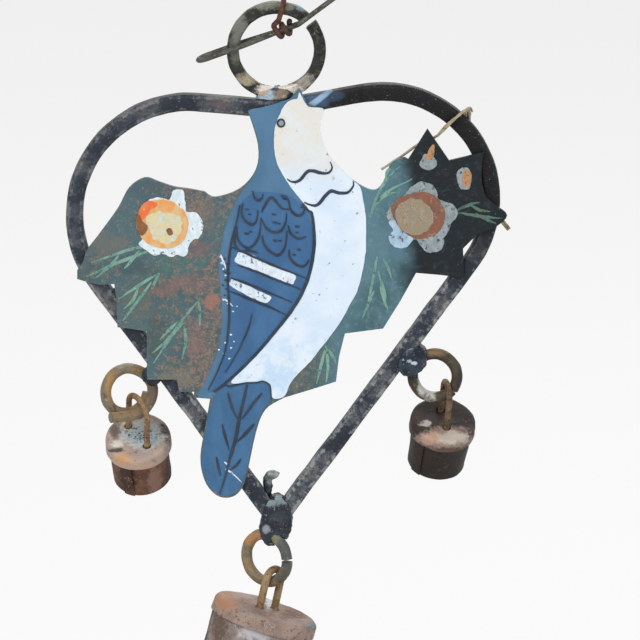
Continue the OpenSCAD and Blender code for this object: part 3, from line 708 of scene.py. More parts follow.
def run_on(shape, end, way, steps):
    """Lengthens the bar by the way, in so many steps. Returns the faces of its new end."""
    for _ in range(steps):
        made = bmesh.ops.extrude_face_region(shape, geom=end)["geom"]
        bmesh.ops.translate(shape, verts=points_in(made), vec=way / steps)
        bmesh.ops.delete(shape, geom=[face for face in end if face.is_valid], context="FACES_ONLY")
        end = faces_in(made)
    return end


# %% [markdown]
# The lobe's middle follows from the width of the half, the radius of the bend and the slope of the
# shoulder, and the leg is the line from the lobe to the point that only just touches the lobe.


# %% Bent bar
def bent_bar(name, side, width, radius, rise):
    """Half of the heart. side is -1 on the left and 1 on the right, and rise is the shoulder's slope."""
    away = width - BAR / 2 - radius
    shoulder = (away - radius * math.sin(rise)) / math.cos(rise)
    lobe = NOTCH + Vector((side * away, 0, shoulder * math.sin(rise) - radius * math.cos(rise)))
    way = Vector((side * math.cos(rise), 0, math.sin(rise)))
    down = POINT - lobe
    leg = math.sqrt(down.length_squared - radius * radius)
    slope = math.atan2(-down.z, -side * down.x) - math.asin(radius / down.length)
    leg_way = Vector((-side * math.cos(slope), 0, -math.sin(slope)))

    shape = bmesh.new()
    end = run_on(shape, bar_end(shape, way), way * (lobe - NOTCH).dot(way), SHOULDER_STEPS)
    made = bmesh.ops.spin(
        shape, geom=end, cent=lobe, axis=(0, side, 0), dvec=(0, 0, 0), angle=math.pi + rise - slope,
        steps=LOBE_STEPS, use_merge=False, use_normal_flip=False, use_duplicate=False,
    )["geom_last"]
    run_on(shape, faces_in(made), leg_way * leg, LEG_STEPS)
    bmesh.ops.remove_doubles(shape, verts=shape.verts, dist=0.01 * MM)
    bmesh.ops.recalc_face_normals(shape, faces=shape.faces)
    for v in shape.verts:
        place = v.co.copy()
        for width_mm, depth_mm in HAMMERED:
            v.co += depth_mm * MM * noise.noise_vector(place / (width_mm * MM))
    bar = new_object(name, shape)
    bar.data.shade_smooth()
    print(name, len(bar.data.polygons), "faces, leg at", round(math.degrees(slope), 2), "degrees")
    return bar


# %% [markdown]
# The paint on the bar is worn in a pattern: the legs and the left lobe are rubbed to a chalky grey, and the
# upper right lobe is nearly black, partly black paint and partly painted shadow, as that side lies in shade.
# A few touches beside the crest are the blue that ran off the brush.

# %% Paint of the bars
bar_paint = Finish("worn blue-black paint on iron bar", 0.5)
rubbed = bar_paint.node("ShaderNodeAttribute", {"attribute_name": "worn"}, {}, "Fac")
across = bar_paint.along("X")
height = bar_paint.along("Z")
slow = bar_paint.noise(9, 3)
fine = bar_paint.noise(1.3, 5, 0.7, 0.2)
grit = bar_paint.noise(0.5, 3, 0.6, 0.9)
black = bar_paint.mix(fine.above(0.6, 0.05), ink(4, 4, 5), ink(20, 21, 24))
high = (height + slow * (10 * MM)).above(-62 * MM, 10 * MM)
# Nearly black on the upper right lobe: black paint and painted shadow together
black_paint_and_painted_shadow = (across + slow * (10 * MM)).above(14 * MM, 6 * MM) * high
low = (height + slow * (20 * MM) - 10 * MM).above(-72 * MM, 14 * MM)
chalky = (fine * 0.6 + slow * 0.4).above(0.53, 0.05) * (0.75 - low * 0.45)
sooty = (grit * 0.6 + fine * 0.4).above(0.56, 0.03) * 0.8
rusty = (slow * 0.5 + grit * 0.5).above(0.57, 0.03) * 0.7
bare = (rubbed * 0.25 + fine * 0.5 + slow * 0.25).above(0.64, 0.06) * (0.9 - low * 0.5)
colour = bar_paint.mix(slow.above(0.52, 0.14), ink(34, 40, 50), ink(56, 64, 76))
colour = bar_paint.mix(chalky, colour, ink(104, 110, 116))
colour = bar_paint.mix(sooty, colour, ink(20, 24, 32))
colour = bar_paint.mix(rusty, colour, ink(100, 82, 68))
colour = bar_paint.mix(bare, colour, ink(140, 142, 142))
colour = bar_paint.mix(black_paint_and_painted_shadow * 0.97, colour, black)
for touch in [
    (314, 103, 14, 8, (66, 90, 116)), (330, 97, 14, 6, (46, 64, 88)), (311.5, 106, 4, 2.6, (140, 172, 204)),
    (314, 104.4, 4, 2.6, (146, 178, 208)), (316.5, 102.6, 4, 2.6, (146, 178, 208)),
    (319, 100.8, 4, 2.4, (146, 178, 208)), (321.5, 98.8, 4, 2.4, (142, 174, 204)),
    (324, 96.8, 4, 2.2, (138, 168, 198)), (326.5, 94.8, 3.6, 2, (134, 162, 190)),
    (329, 92.6, 3.4, 2, (128, 154, 180)),
]:
    colour = bar_paint.mix(bar_paint.touch(*touch[:4], 0.3, 0.6) * 0.8, colour, ink(*touch[4]))
bar_paint.set("Base Color", bar_paint.mix(grit.above(0.68, 0.03), colour, ink(128, 132, 138)))
bar_paint.set("Roughness", fine * 0.4 + 0.34)
bar_paint.bump(fine * 0.7 + grit * 0.4 + slow * 0.6, 0.22)

for name, side, width, radius, rise in [
    ("frame_bar_left", -1, HALF_LEFT, 27 * MM, math.radians(5)),
    ("frame_bar_right", 1, HALF_RIGHT, 25.5 * MM, math.radians(10.5)),
]:
    bar = bent_bar(name + "_worn", side, width, radius, rise)
    bar_paint.on(bar)
    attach(bar, "heart")
    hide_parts(name)

# %% [markdown]
# The bird and the leaves are one sheet, cut with snips and painted with a brush. The sheet keeps the shape of
# the imported model. Its ground coat is a material: green with rust showing through on the left wing of
# leaves, teal beside the bird, and nearly black at the far right, which is partly dark green paint and partly
# painted shadow.

# %% Ground coat of the sheet
ground = Finish("ground coat of the painted sheet", 0.48)
across = ground.along("X")
slow = ground.noise(14, 3, 0.5)
fine = ground.noise(1.5, 5, 0.75, 0.1)
grit = ground.noise(0.55, 3, 0.7, 0.5)
colour = ground.mix((slow * 0.6 + fine * 0.4).above(0.5, 0.1), ink(74, 98, 104), ink(52, 78, 86))
colour = ground.mix((fine * 0.6 + slow * 0.4).above(0.52, 0.07) * 0.6, colour, ink(108, 108, 96))
colour = ground.mix((grit * 0.6 + fine * 0.4).above(0.56, 0.04) * 0.5, colour, ink(136, 132, 114))
for touch in [
    (150, 190, 34, 9, (70, 86, 96)), (110, 246, 20, 12, (106, 104, 98)), (205, 212, 12, 18, (102, 104, 98)),
    (184, 264, 22, 12, (66, 106, 102)), (134, 264, 16, 10, (62, 80, 88)), (198, 250, 18, 7, (112, 92, 92)),
    (188, 284, 20, 8, (116, 98, 96)), (213, 303, 7, 10, (162, 110, 90)), (164, 290, 12, 6, (120, 94, 88)),
    (140, 304, 13, 20, (90, 98, 92)), (196, 340, 9, 20, (122, 102, 94)), (176, 376, 16, 9, (118, 114, 100)),
    (156, 338, 10, 20, (68, 78, 76)),
]:
    colour = ground.mix(ground.touch(*touch[:4], 2.2) * 0.65, colour, ink(*touch[4]))
rusty = (slow * 0.5 + fine * 0.5).above(0.51, 0.07) * (across + fine * (9 * MM)).above(-22 * MM, 7 * MM)
rusty = rusty * (1 - across.above(-9 * MM, 3 * MM))
colour = ground.mix(rusty * (grit * 0.7 + fine * 0.3).above(0.52, 0.06) * 0.6, colour, ink(148, 112, 106))
colour = ground.mix((fine * 0.6 + grit * 0.4).above(0.6, 0.04) * 0.4, colour, ink(124, 92, 76))

# %% [markdown]
# To the right of the bird the green turns teal and then nearly black. The near black is partly the sheet's
# dark green paint and partly painted shadow, as that side of the heart lies in shade. A slow pattern shifts
# each border, so that neither is a straight line.

# %% Teal and black of the sheet
teal = ground.mix(slow.above(0.52, 0.12), ink(84, 118, 130), ink(66, 96, 104))
teal = ground.mix(fine.above(0.58, 0.06) * 0.5, teal, ink(112, 136, 140))
# Nearly black: the sheet's dark green paint and painted shadow together
dark_green_and_painted_shadow = ground.mix(fine.above(0.58, 0.06), ink(20, 27, 32), ink(38, 46, 50))
border = across + slow * (12 * MM) - 6 * MM
colour = ground.mix(border.above(10 * MM, 4 * MM), colour, teal)
colour = ground.mix(border.above(29 * MM, 2.5 * MM), colour, dark_green_and_painted_shadow)
colour = ground.mix(grit.above(0.7, 0.02) * 0.8, colour, ink(150, 150, 138))
ground.set("Base Color", colour)
ground.set("Roughness", fine * 0.3 + 0.32)
ground.bump(fine * 0.6 + grit * 0.4, 0.08)
ground.on(nodes["bird_panel"])

# %% [markdown]
# The painting is drawn in units of its own, which run right and down and are about a quarter of a
# millimetre. They are tied to the heart at its notch, its two sides and its point, so that the drawing lies
# where the bars are. A brush is never quite steady, so every place wavers a little.

# %% Units of the drawing
SHEET_LIFT = 0.6 * MM
SHEET_FRONT = -2.9 * MM
COAT = 0.05 * MM
DRAWN_UNIT = 0.235 * MM
DRAWN_NOTCH = (276.5, 110)
DRAWN_LEFT = 209.5
DRAWN_RIGHT = 223.5
DRAWN_DROP = 409
SLOW_SHAKE = 5
QUICK_SHAKE = 1.7


def at(across, down):
    """A place on the sheet's front."""
    off = across - DRAWN_NOTCH[0]
    unit = HALF_LEFT / DRAWN_LEFT if off < 0 else HALF_RIGHT / DRAWN_RIGHT
    drop = (down - DRAWN_NOTCH[1]) / DRAWN_DROP * HEART_DROP
    return Vector((NOTCH.x + off * unit, SHEET_FRONT, NOTCH.z + SHEET_LIFT - drop))


def unsteady(across, down, layer, waver):
    """The same place as the brush hits it."""
    slow = noise.noise_vector(Vector((across / SLOW_SHAKE, down / SLOW_SHAKE, layer)))
    quick = noise.noise_vector(Vector((across / QUICK_SHAKE, down / QUICK_SHAKE, layer)))
    shake = slow * waver + quick * (waver / 2)
    return at(across + shake.x, down + shake.y)


# %% [markdown]
# Each painted shape is a thin coat of its own, a few hundredths of a millimetre proud, as brushed enamel
# is. A shape is an outline: a smooth closed line, or a stroke whose width swells and thins along its way.

# %% Brushwork
SWELL_SHARE = 0.3
THIN_SHARE = 0.4
STACK_SHARE = 0.03


def shape_of(points, steps=5):
    return eased([Vector(point) for point in points], steps, True)


def stroke(points, width, start=0.35, end=0.25):
    """The outline of a brush stroke along the points. start and end are the shares of its width there."""
    line = eased([Vector(point) for point in points], 6, False)
    left = []
    right = []
    for i, (x, y) in enumerate(line):
        way = (line[min(i + 1, len(line) - 1)] - line[max(i - 1, 0)]).normalized()
        share = i / (len(line) - 1)
        if share < 0.5:
            swell = start + (1 - start) * min(share / SWELL_SHARE, 1)
        else:
            swell = end + (1 - end) * min((1 - share) / THIN_SHARE, 1)
        half = width / 2 * swell
        left.append((x - way.y * half, y + way.x * half))
        right.append((x + way.y * half, y - way.x * half))
    return left + right[::-1]


def coats(name, outlines, layer, finish, waver=0.35, rim=0.0):
    """One piece of paint: every outline becomes a flat coat, layer times COAT proud of the sheet.
    Where a rim is given, in the drawing's units, the attribute full rises from 0 to 1 across it."""
    shape = bmesh.new()
    full = shape.verts.layers.float.new("full")
    for count, outline in enumerate(outlines):
        spots = [shape.verts.new(unsteady(across, down, layer, waver)) for across, down in outline]
        coat = shape.faces.new(spots)
        flat = [coat]
        if rim:
            flat += bmesh.ops.inset_region(shape, faces=[coat], thickness=rim * DRAWN_UNIT)["faces"]
            for v in coat.verts:
                v[full] = 1.0
        made = bmesh.ops.extrude_face_region(shape, geom=flat, use_keep_orig=True)["geom"]
        proud = (layer + count * STACK_SHARE) * COAT
        bmesh.ops.translate(shape, verts=points_in(made), vec=(0, -proud, 0))
    bmesh.ops.triangulate(shape, faces=shape.faces, ngon_method="EAR_CLIP")
    bmesh.ops.recalc_face_normals(shape, faces=shape.faces)
    piece = new_object(name, shape)
    finish.on(piece)
    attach(piece, "heart")
    print(name, len(outlines), "shapes")


# %% [markdown]
# Enamel that was brushed on shows its streaks, in the colour, in the sheen and to the touch. It chips in
# small flakes, and where the brush ran dry its edge breaks up, which the attribute full tells the finish.

# %% Enamel
ENAMEL_ROUGH = 0.42


def brushed(finish, streak_mm):
    """Streaks and a fine grain, which the sheen and the bump follow."""
    streak = finish.noise(streak_mm, 4, 0.6, 0.2, (1, 1, 0.45))
    grain = finish.noise(0.9, 4, 0.7, 0.6)
    finish.set("Roughness", grain * 0.25 + (ENAMEL_ROUGH - 0.1))
    finish.bump(streak * 0.7 + grain * 0.4, 0.05)
    return streak, grain


def paint(name, base, shade, streak_mm, chips=None, level=0.66, third=None, dry=0.0, hold=0.62):
    """Close tones in streaks, chips over a level of the pattern, and a dry edge that hold makes whole."""
    finish = Finish(name, ENAMEL_ROUGH)
    streak, grain = brushed(finish, streak_mm)
    colour = finish.mix(streak.above(0.5, 0.16), ink(*base), ink(*shade))
    if third:
        colour = finish.mix((grain * 0.5 + streak * 0.5).above(0.53, 0.04), colour, ink(*third))
    if chips:
        colour = finish.mix((grain * 0.7 + streak * 0.3).above(level, 0.015), colour, ink(*chips))
    finish.set("Base Color", colour)
    if dry:
        full = finish.node("ShaderNodeAttribute", {"attribute_name": "full"}, {}, "Fac")
        finish.set("Alpha", (full * hold + grain * dry).above(0.42, 0.07))
    return finish


# %% [markdown]
# The bird first: blue back, wing and tail, then the white head and breast over the blue's edge. The white
# is greyer on the cheek and bluer low on the breast, so it gets its own mix of tones.

# %% Finishes of the bird
bird_blue = paint(
    "bird blue", (82, 118, 148), (72, 108, 138),
    streak_mm=5, chips=(140, 150, 154), level=0.68,
)
tail_blue = paint(
    "tail blue", (68, 108, 146), (58, 96, 132),
    streak_mm=5, chips=(124, 140, 150), level=0.67,
)
wing_blue = paint(
    "wing blue", (66, 106, 146), (56, 94, 134),
    streak_mm=5, chips=(112, 126, 136), level=0.68,
)
line_dark = paint("dark line", (42, 52, 66), (54, 66, 82), streak_mm=3)
eye_grey = paint("grey of the eye", (150, 160, 168), (132, 142, 152), streak_mm=2.5)
rough_white = paint(
    "rough white of the wing bars", (218, 228, 236), (198, 210, 220),
    streak_mm=1.2, chips=(96, 116, 140), level=0.58,
)

white = Finish("white of the breast", ENAMEL_ROUGH)
brushed(white, 9)
height = white.along("Z")
slow = white.noise(8, 4, 0.6, 0.4)
fine = white.noise(1.4, 5, 0.7, 0.9)
breast = white.mix(slow.above(0.5, 0.14), ink(216, 226, 236), ink(204, 219, 234))
cheek = white.mix((slow * 0.6 + fine * 0.4).above(0.5, 0.06), ink(214, 219, 220), ink(216, 213, 205))
breast = white.mix((height + slow * (8 * MM) - 4 * MM).above(-47 * MM, 5 * MM), breast, cheek)
low = 1 - (height + slow * (10 * MM)).above(-84 * MM, 9 * MM)
low = (slow * 0.6 + fine * 0.4).above(0.52, 0.05) * low
breast = white.mix(low * 0.8, breast, ink(182, 208, 230))
white.set("Base Color", white.mix(fine.above(0.67, 0.015), breast, ink(150, 130, 116)))

# %% [markdown]
# Each form of the bird is drawn once round its edge, and the ones that lie on top get a higher layer.

# %% Bird
coats("paint_bird_body", [shape_of([
    (249.5, 112), (251.5, 121), (255.5, 131), (259, 145), (259, 160), (255.5, 172), (248.5, 184),
    (241, 193), (234, 205), (228, 220), (223, 238), (220, 255), (219, 270), (221, 290), (222, 315),
    (220, 340), (213, 362), (204, 382), (198, 394.5), (211, 396), (217, 390), (232, 383), (262, 352),
    (292, 314), (312, 276), (318, 240), (317, 216), (306, 202), (296, 188), (284, 172), (278, 150),
    (278, 130), (284, 116), (292, 108), (306, 105), (302.5, 95.5), (300.5, 91.5), (296.5, 95),
    (291, 99.5), (283, 102.8), (273, 106), (261, 109),
])], layer=1, finish=bird_blue)
wing_edge = [
    (240, 205), (237, 220), (232, 240), (229, 260), (228, 280), (229, 300), (229, 320), (226, 345),
    (219, 366), (208, 388),
]
coats("paint_bird_wing", [shape_of(wing_edge + [
    (212, 390), (222, 384), (240, 368), (258, 350), (275, 330), (290, 311), (302, 292), (309, 272),
    (313, 250), (313, 232), (308, 215), (302, 205), (290, 196), (270, 192), (252, 194),
])], layer=2, finish=wing_blue)
coats("paint_bird_tail", [shape_of([
    (217, 389.5), (225, 384.5), (230, 385), (244, 382), (257, 381), (264, 380), (269, 385),
    (270.5, 397), (268.5, 401), (263.5, 408), (258.5, 418), (254.5, 430), (248.5, 458), (244.5, 475),
    (240.5, 485), (234, 491.5), (226, 494.5), (220.5, 493.5), (211.5, 487), (205.5, 478), (201.5, 463),
    (202.5, 450), (205.5, 430), (209.5, 410),
])], layer=2, finish=tail_blue)
coats("paint_bird_breast", [shape_of([
    (299.6, 94), (302, 98.5), (305, 104), (310, 108.5), (323.5, 110.5), (320.5, 126), (321.5, 137),
    (325, 147), (330.5, 157.5), (340, 167), (352, 179.5), (360, 187.5), (363, 200), (365.5, 215),
    (366, 235), (365, 255), (362, 272), (357, 290), (350, 303), (342, 318), (330, 335), (318, 350),
    (310, 360), (298, 372), (290, 382), (284, 394.5), (273, 396.5), (271, 386), (268, 381), (252, 380),
    (231, 381), (245, 366), (262, 348), (278, 328), (290, 312), (302, 293), (309, 275), (314, 260),
    (316, 240), (314.5, 225), (311, 213), (303, 202), (293, 190), (286, 180), (279, 168), (275, 155),
    (274, 140), (276, 125), (281, 113), (285.5, 105.5), (291, 101.5), (297, 100.2), (298.4, 97),
])], layer=3, finish=white)

# %% [markdown]
# Two white bars cross the wing. Beside its edge, and at the end of the tail, the blue has flaked off in
# small specks and scratches, which are painted as what they look like: dots and dashes of rough white.


# %% Wing bars
def speck(across, down, r):
    """A small flake, wider than it is high."""
    outline = [(across - r, down), (across, down - r * 0.7), (across + r, down), (across, down + r * 0.8)]
    return shape_of(outline, 2)


wing_bars = [
    [
        (235, 261), (237, 255), (240, 250.5), (250, 253), (262, 259), (275, 264), (288, 270),
        (296, 275), (294, 280), (292, 283), (280, 279), (265, 274), (250, 267),
    ],
    [
        (230, 284), (231, 280), (233, 277.5), (243, 281), (255, 288), (264, 292), (271, 296),
        (269, 300), (266, 302), (255, 298), (243, 292),
    ],
]
flakes = [
    (222, 262, 1.6), (223.5, 268, 1.1), (226, 274, 1.3), (224, 298, 1.5), (228, 302, 1.2),
    (231, 333, 1.3), (226, 341, 1.6), (231, 346, 1.2), (224, 352, 1.5), (229, 357, 1.1),
    (221, 256, 1.2), (233, 310, 0.9), (237, 305, 1.0), (234, 340, 1.0), (219, 348, 1.0),
]
scratches = [
    ([(221, 254), (223.5, 261), (226, 268)], 1.8), ([(223, 297), (228, 300), (233, 305)], 1.6),
    ([(225, 467), (233, 472), (241, 480)], 1.6), ([(224, 460), (228, 464), (226, 470)], 1.4),
]
white_marks = [shape_of(outline, 3) for outline in wing_bars]
white_marks += [speck(*flake) for flake in flakes]
white_marks += [stroke(points, width) for points, width in scratches]
coats("paint_wing_bars", white_marks, layer=3, finish=rough_white, waver=0.6)

# %% [markdown]
# The lines come last, in one dark blue. The feathers of the wing are open arcs, and the dots between them
# are laid down with the tip of the brush. The two lines that cross the breast and the one round the wing
# are drawn with more weight.


# %% Dark lines
def dot(across, down, r):
    """The mark that the tip of a round brush leaves."""
    left = across - 1.5 * r
    right = across + 1.5 * r
    outline = [(left, down - r * 0.3), (across, down - r * 0.6), (right, down), (across, down + r * 0.6)]
    return shape_of(outline, 3)


feathers = [
    [(253, 191), (254.5, 197), (258, 200), (262, 198), (263, 194)],
    [(243, 203), (242, 213), (246, 221), (253, 224), (257, 219), (258, 210)],
    [(262, 212), (264, 207), (270.5, 197.5), (276, 201), (282, 208), (289, 209)],
    [(237, 226), (238, 238), (243, 245), (250, 247), (257, 240), (260, 230), (261, 217)],
    [(262, 219), (266, 227), (273, 231.5), (281, 230), (285.5, 222), (286.5, 212)],
    [(289, 203), (291, 210), (297, 215), (303, 213), (305, 207)],
    [(262, 235), (265, 245), (272, 252), (279, 254), (285, 246), (287, 230)],
    [(236, 232), (235, 243), (240, 250), (250, 250), (258, 252)],
    [(288, 225), (291, 233), (298, 238), (306, 236)],
    [(289, 249), (290, 257), (297, 264), (304, 265), (309, 259)],
    [(283, 199), (286, 197), (290, 204)],
]
dots = [
    (247, 209, 1.4), (250, 214, 1.2), (247, 233, 1.8), (251, 231, 1.2), (274, 214, 1.6),
    (275, 222, 1.8), (279, 223, 1.2), (275, 240, 1.6), (280, 240, 1.4), (297, 226, 1.8),
    (297, 232, 1.2), (299, 249, 1.6), (294, 254, 1.4), (302, 207, 1.3), (283, 196, 1.6),
    (225, 258, 1.0), (228, 263, 1.3), (225, 271, 1.0), (229, 272, 1.4), (226, 279, 1.2),
    (223, 284, 1.0), (227, 288, 1.3), (225, 294, 1.0), (229, 297, 1.1),
]
outer_lines = [
    ([
        (287, 179), (293, 182), (300, 180), (307, 172), (313, 171), (320, 173), (328, 173), (332, 168),
        (330, 162),
    ], 3.2),
    ([
        (304, 202), (312, 205), (318, 204), (325, 196), (331, 191), (340, 193), (348, 192), (353, 186),
        (353, 181),
    ], 3.4),
    (wing_edge, 2.4, 0.5, 0.4),
    ([
        (302, 204), (308, 210), (312, 214), (314, 232), (313.5, 250), (309.5, 272), (302, 292),
        (290, 311), (275, 330), (258, 350), (240, 368), (222, 384), (213, 390),
    ], 3.4, 0.5, 0.6),
    ([(231, 246), (245, 252), (270, 263), (290, 271), (306, 277)], 2.2),
    ([(238, 264), (260, 272), (282, 281), (303.5, 289)], 2.4),
    ([(231, 277), (243, 281), (268, 291), (292, 301)], 2.4),
    ([(230.5, 290), (248, 297), (268, 305), (285, 313)], 2.6),
    ([(252, 312), (249, 325), (244, 337), (239, 347)], 1.8),
    ([(246, 331), (240, 346), (232, 360), (225, 371)], 1.4),
    ([
        (217, 389), (225, 383.5), (230, 384.5), (244, 381.5), (257, 380.5), (264, 379.5), (269.5, 384),
        (271, 398),
    ], 1.6),
]
bird_lines = [stroke(*line) for line in outer_lines]
bird_lines += [stroke(line, 2.6, 0.5, 0.4) for line in feathers]
bird_lines += [dot(*place) for place in dots]
coats("paint_bird_lines", bird_lines, layer=5, finish=line_dark, waver=0.3)

tail_veins = [
    ([
        (247, 383), (243, 400), (239, 417), (236, 434), (232, 449), (229, 458), (225, 475), (219, 492),
    ], 3.4, 0.7, 0.3),
    ([(228, 391), (231, 403), (237, 417)], 2.8),
    ([(262, 391), (252, 403), (242, 417)], 2.8),
    ([(254, 422), (246, 431), (237, 440)], 3.2),
    ([(222, 422), (225, 435), (229, 448)], 2.8),
    ([(216, 455), (218, 464), (220, 474)], 2.8),
    ([(241, 457), (236, 463), (230, 468)], 2.4),
]
coats("paint_tail_veins", [stroke(*vein) for vein in tail_veins], layer=5, finish=line_dark, waver=0.3)

# %% [markdown]
# The eye is a dark round with a smaller grey round on it. Twelve points half a radian apart leave one
# flat place in each, as a quick turn of the brush does.


# %% Eye
def quick_round(across, down, radius):
    turns = [i / 2 for i in range(12)]
    return [(across + radius * math.cos(turn), down + radius * math.sin(turn)) for turn in turns]


coats("paint_eye_ring", [quick_round(281, 124, 4.6)], layer=5, finish=line_dark, waver=0.2)
coats("paint_eye_middle", [quick_round(281.3, 124, 2.7)], layer=6, finish=eye_grey, waver=0.2)

# %% [markdown]
# The flowers on the leaves: ragged white petals, an orange ring over them, and a straw-coloured middle.
# The left flower is in the light. The right one lies in the shade of its side of the heart, so its duller
# colours, and those of the buds above it, are painted shade.

# %% Finishes of the flowers
petal = paint(
    "petal white", (196, 212, 218), (218, 228, 234),
    streak_mm=1.2, chips=(104, 116, 112), level=0.6, dry=0.55,
)
# Painted shade: the grey of the right flower's petals and of the buds
shaded_petal = paint(
    "petal grey in painted shade", (128, 138, 142), (150, 160, 164),
    streak_mm=1.2, chips=(70, 78, 80), level=0.56, dry=0.55,
)
# The low left petal of the right flower lies in the light, beside the petals in painted shade
blue_petal = paint(
    "petal in pale blue", (170, 196, 214), (150, 172, 190),
    streak_mm=1.4, chips=(84, 100, 110), level=0.6, dry=0.55,
)
orange = paint(
    "flower orange", (218, 152, 86), (206, 172, 126),
    streak_mm=1.3, chips=(196, 124, 76), level=0.62, third=(212, 178, 128), dry=0.5,
)
red_orange = paint(
    "red orange", (224, 104, 58), (210, 126, 78),
    streak_mm=1.6, chips=(230, 172, 112), level=0.6, dry=0.5,
)
# Painted shade: the dull orange ring of the right flower
burnt = paint(
    "orange of the right flower in painted shade", (134, 88, 66), (106, 78, 70),
    streak_mm=1.3, chips=(164, 108, 74), level=0.58, third=(122, 92, 82), dry=0.5,
)
beige = paint(
    "flower middle", (214, 198, 150), (192, 190, 162),
    streak_mm=1.2, chips=(176, 140, 100), level=0.63, third=(200, 206, 192), dry=0.9,
)
# Painted shade: the dull middle of the right flower
dull_beige = paint(
    "middle of the right flower in painted shade", (144, 132, 106), (130, 128, 116),
    streak_mm=1.2, chips=(152, 108, 76), level=0.56, third=(160, 152, 132), dry=0.9,
)
# Painted shade: the orange tips of the buds
bud_orange = paint(
    "orange of the buds in painted shade", (182, 132, 84), (164, 130, 100),
    streak_mm=1.0, chips=(120, 96, 76), level=0.56, dry=0.5,
)
brown = paint("brown touches", (120, 78, 50), (140, 96, 60), streak_mm=1, dry=0.5)
print("finishes so far", len(bpy.data.materials))

# %% [markdown]
# Petals are drawn as one ragged outline with a wide dry rim, and so is the middle, whose rim is so wide
# that the ring below shows through it. The colours that lie on top are on a higher layer.

# %% Left flower
coats("paint_left_petals", [shape_of([
    (150, 200), (160, 197.5), (170, 199), (174, 191), (180, 189), (185, 192), (186, 203), (187, 211),
    (194, 212), (199, 214), (203, 221), (203.5, 230), (199, 237), (193, 240), (189, 246), (188, 252),
    (184, 256), (177, 254), (171, 256.5), (163, 253), (155, 254.5), (146, 249), (140, 244), (143, 238),
    (146, 232), (144, 215), (147, 207),
])], layer=2, finish=petal, waver=1.1, rim=3)
coats("paint_left_orange", [shape_of([
    (139, 214), (145, 205), (155, 200), (166, 199.5), (176, 203), (185, 211), (189, 220), (188, 231),
    (184, 240), (176, 246), (166, 248), (155, 246), (145, 240), (139, 231), (137, 222),
])], layer=3, finish=orange, waver=0.9, rim=3.5)
coats("paint_left_middle", [shape_of([
    (152, 214), (160, 210), (165, 212), (172, 212), (180, 216), (183, 224), (181, 232), (176, 239),
    (168, 243), (160, 241), (153, 238), (151, 230), (148, 224), (147, 218),
])], layer=4, finish=beige, waver=1.6, rim=13)
coats("paint_left_red", [shape_of([
    (139.5, 214), (142, 206), (149, 201), (157, 202), (158, 206), (151, 210), (147, 216), (142, 219),
])], layer=4, finish=red_orange, waver=0.8, rim=2.5)
brown_touches = [
    [(137, 217), (140, 214), (143, 220), (148, 225), (147, 231), (143, 235), (139, 231), (137, 224)],
    [(167, 229), (170, 227.5), (173, 230), (174, 233), (170, 235), (168, 232)],
]
coats(
    "paint_brown_touches", [shape_of(outline, 3) for outline in brown_touches],
    layer=5, finish=brown, waver=0.8, rim=1.2,
)

# %% [markdown]
# The right flower has five petals, of which the low left one is bluer and in the light while the rest are
# in painted shade, and two buds stand above it.

# %% Right flower and buds
coats("paint_right_petals", [shape_of([
    (390, 207), (396, 200), (402, 197), (408, 190), (414, 185), (420, 182), (427, 183), (434, 187),
    (437, 193), (438, 199), (445, 201), (452, 204), (457, 211), (456, 218), (450, 224), (448, 230),
    (444, 237), (443, 246), (438, 250), (431, 252), (424, 249), (419, 243), (415, 238), (410, 243),
    (404, 247), (397, 247), (391, 243), (389, 236), (393, 229), (390, 222), (386, 214),
])], layer=2, finish=shaded_petal, waver=1.1, rim=3)
coats("paint_right_low_petal", [shape_of([
    (389, 222), (393, 229), (389, 236), (391, 243), (397, 247), (404, 247), (410, 243), (413, 236),
    (405, 228), (396, 220),
])], layer=3, finish=blue_petal, waver=1.0, rim=3)
coats("paint_right_orange", [shape_of([
    (391, 207), (397, 200), (406, 195), (417, 192), (428, 193), (437, 198), (443, 207), (445, 217),
    (442, 226), (436, 233), (428, 237), (418, 238), (408, 235), (400, 228), (394, 219),
])], layer=4, finish=burnt, waver=0.9, rim=3.5)
coats("paint_right_middle", [shape_of([
    (395, 210), (400, 203), (409, 199), (419, 199), (427, 204), (432, 212), (433, 220), (429, 228),
    (422, 233), (413, 234), (404, 231), (398, 224), (395, 217),
])], layer=5, finish=dull_beige, waver=1.6, rim=13)
buds = [
    [(421, 160), (424, 155), (430, 155), (435, 160), (436, 166), (430, 170), (423, 169), (419, 165)],
    [(456, 175), (460, 169), (467, 168), (471, 173), (471, 181), (469, 188), (463, 190), (458, 185)],
]
bud_tips = [
    [(428, 152), (430, 147), (433, 145), (434, 150), (433, 157), (428, 161), (425, 159)],
    [(463, 172), (468, 170), (471, 176), (470, 184), (465, 188), (462, 182)],
]
coats(
    "paint_bud_petals", [shape_of(outline, 3) for outline in buds],
    layer=2, finish=shaded_petal, waver=0.9, rim=2.5,
)
coats(
    "paint_bud_orange", [shape_of(outline, 3) for outline in bud_tips],
    layer=3, finish=bud_orange, waver=0.7, rim=1.8,
)

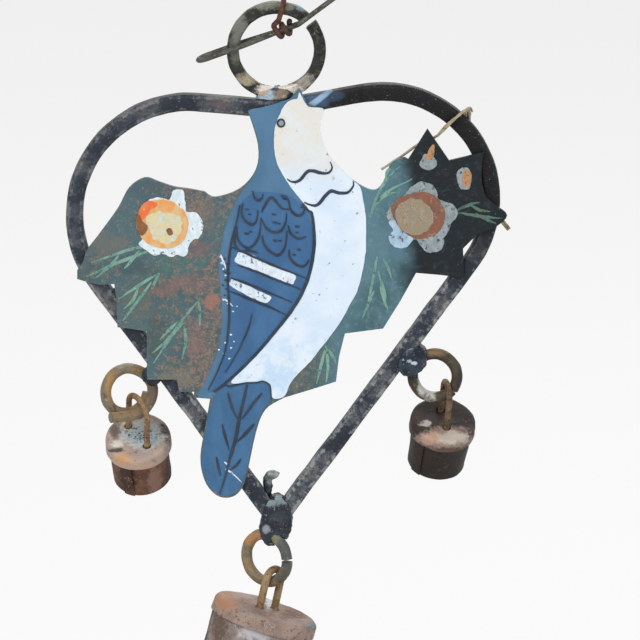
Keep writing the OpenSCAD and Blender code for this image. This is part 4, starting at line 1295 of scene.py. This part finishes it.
# %% [markdown]
# The leaves are sprigs of long, dry strokes in a thin green that the ground shows through. Each row below
# is one sprig or a part of it. The ones at the far right are in the shade and get a dimmer green.

# %% Sprigs
sprig = paint(
    "sprig green", (122, 160, 146), (98, 138, 128),
    streak_mm=1.5, chips=(70, 100, 92), level=0.58, dry=0.75, hold=0.18,
)
dim_sprig = paint(
    "sprig green in shade", (84, 110, 98), (66, 92, 84),
    streak_mm=1.5, chips=(44, 58, 56), level=0.56, dry=0.75, hold=0.18,
)
near_leaves = [
    [(160, 243), (130, 249), (92, 262)], [(155, 248), (118, 262), (87, 276)],
    [(140, 250), (132, 260), (125, 268)], [(120, 254), (108, 268), (96, 277)],
    [(160, 272), (140, 284), (119, 298)], [(152, 281), (138, 300), (121, 322)],
    [(160, 272), (156, 280), (152, 288)], [(140, 284), (134, 298), (124, 308)],
    [(200, 298), (183, 318), (168, 340), (153, 362)], [(199, 300), (200, 312), (200, 325)],
    [(183, 322), (168, 338), (152, 352)], [(184, 325), (186, 340), (182, 358)],
    [(178, 320), (168, 330), (160, 338)],
    [(370, 217), (376, 203), (390, 190), (412, 179)], [(370, 217), (376, 198), (386, 180), (400, 166)],
    [(372, 208), (384, 196), (396, 192)], [(386, 182), (387, 172), (391, 167)],
    [(377, 255), (373, 278), (368, 300)], [(383, 257), (388, 267), (391, 277)],
    [(380, 285), (384, 298), (388, 309)], [(374, 290), (368, 303), (362, 318)],
    [(378, 270), (384, 290), (386, 300)], [(326, 344), (321, 364), (316, 383)],
    [(326, 346), (328, 364), (326, 381)], [(327, 347), (333, 355), (336, 362)],
]
far_leaves = [
    [(457, 210), (468, 205), (480, 202)], [(457, 212), (480, 216), (502, 218)],
    [(475, 213), (486, 219), (496, 223)], [(470, 205), (480, 210), (490, 211)],
]
coats(
    "paint_sprigs", [stroke(leaf, 3, 0.4, 0.2) for leaf in near_leaves],
    layer=1, finish=sprig, waver=0.5, rim=0.7,
)
coats(
    "paint_far_sprigs", [stroke(leaf, 3, 0.4, 0.2) for leaf in far_leaves],
    layer=1, finish=dim_sprig, waver=0.5, rim=0.7,
)
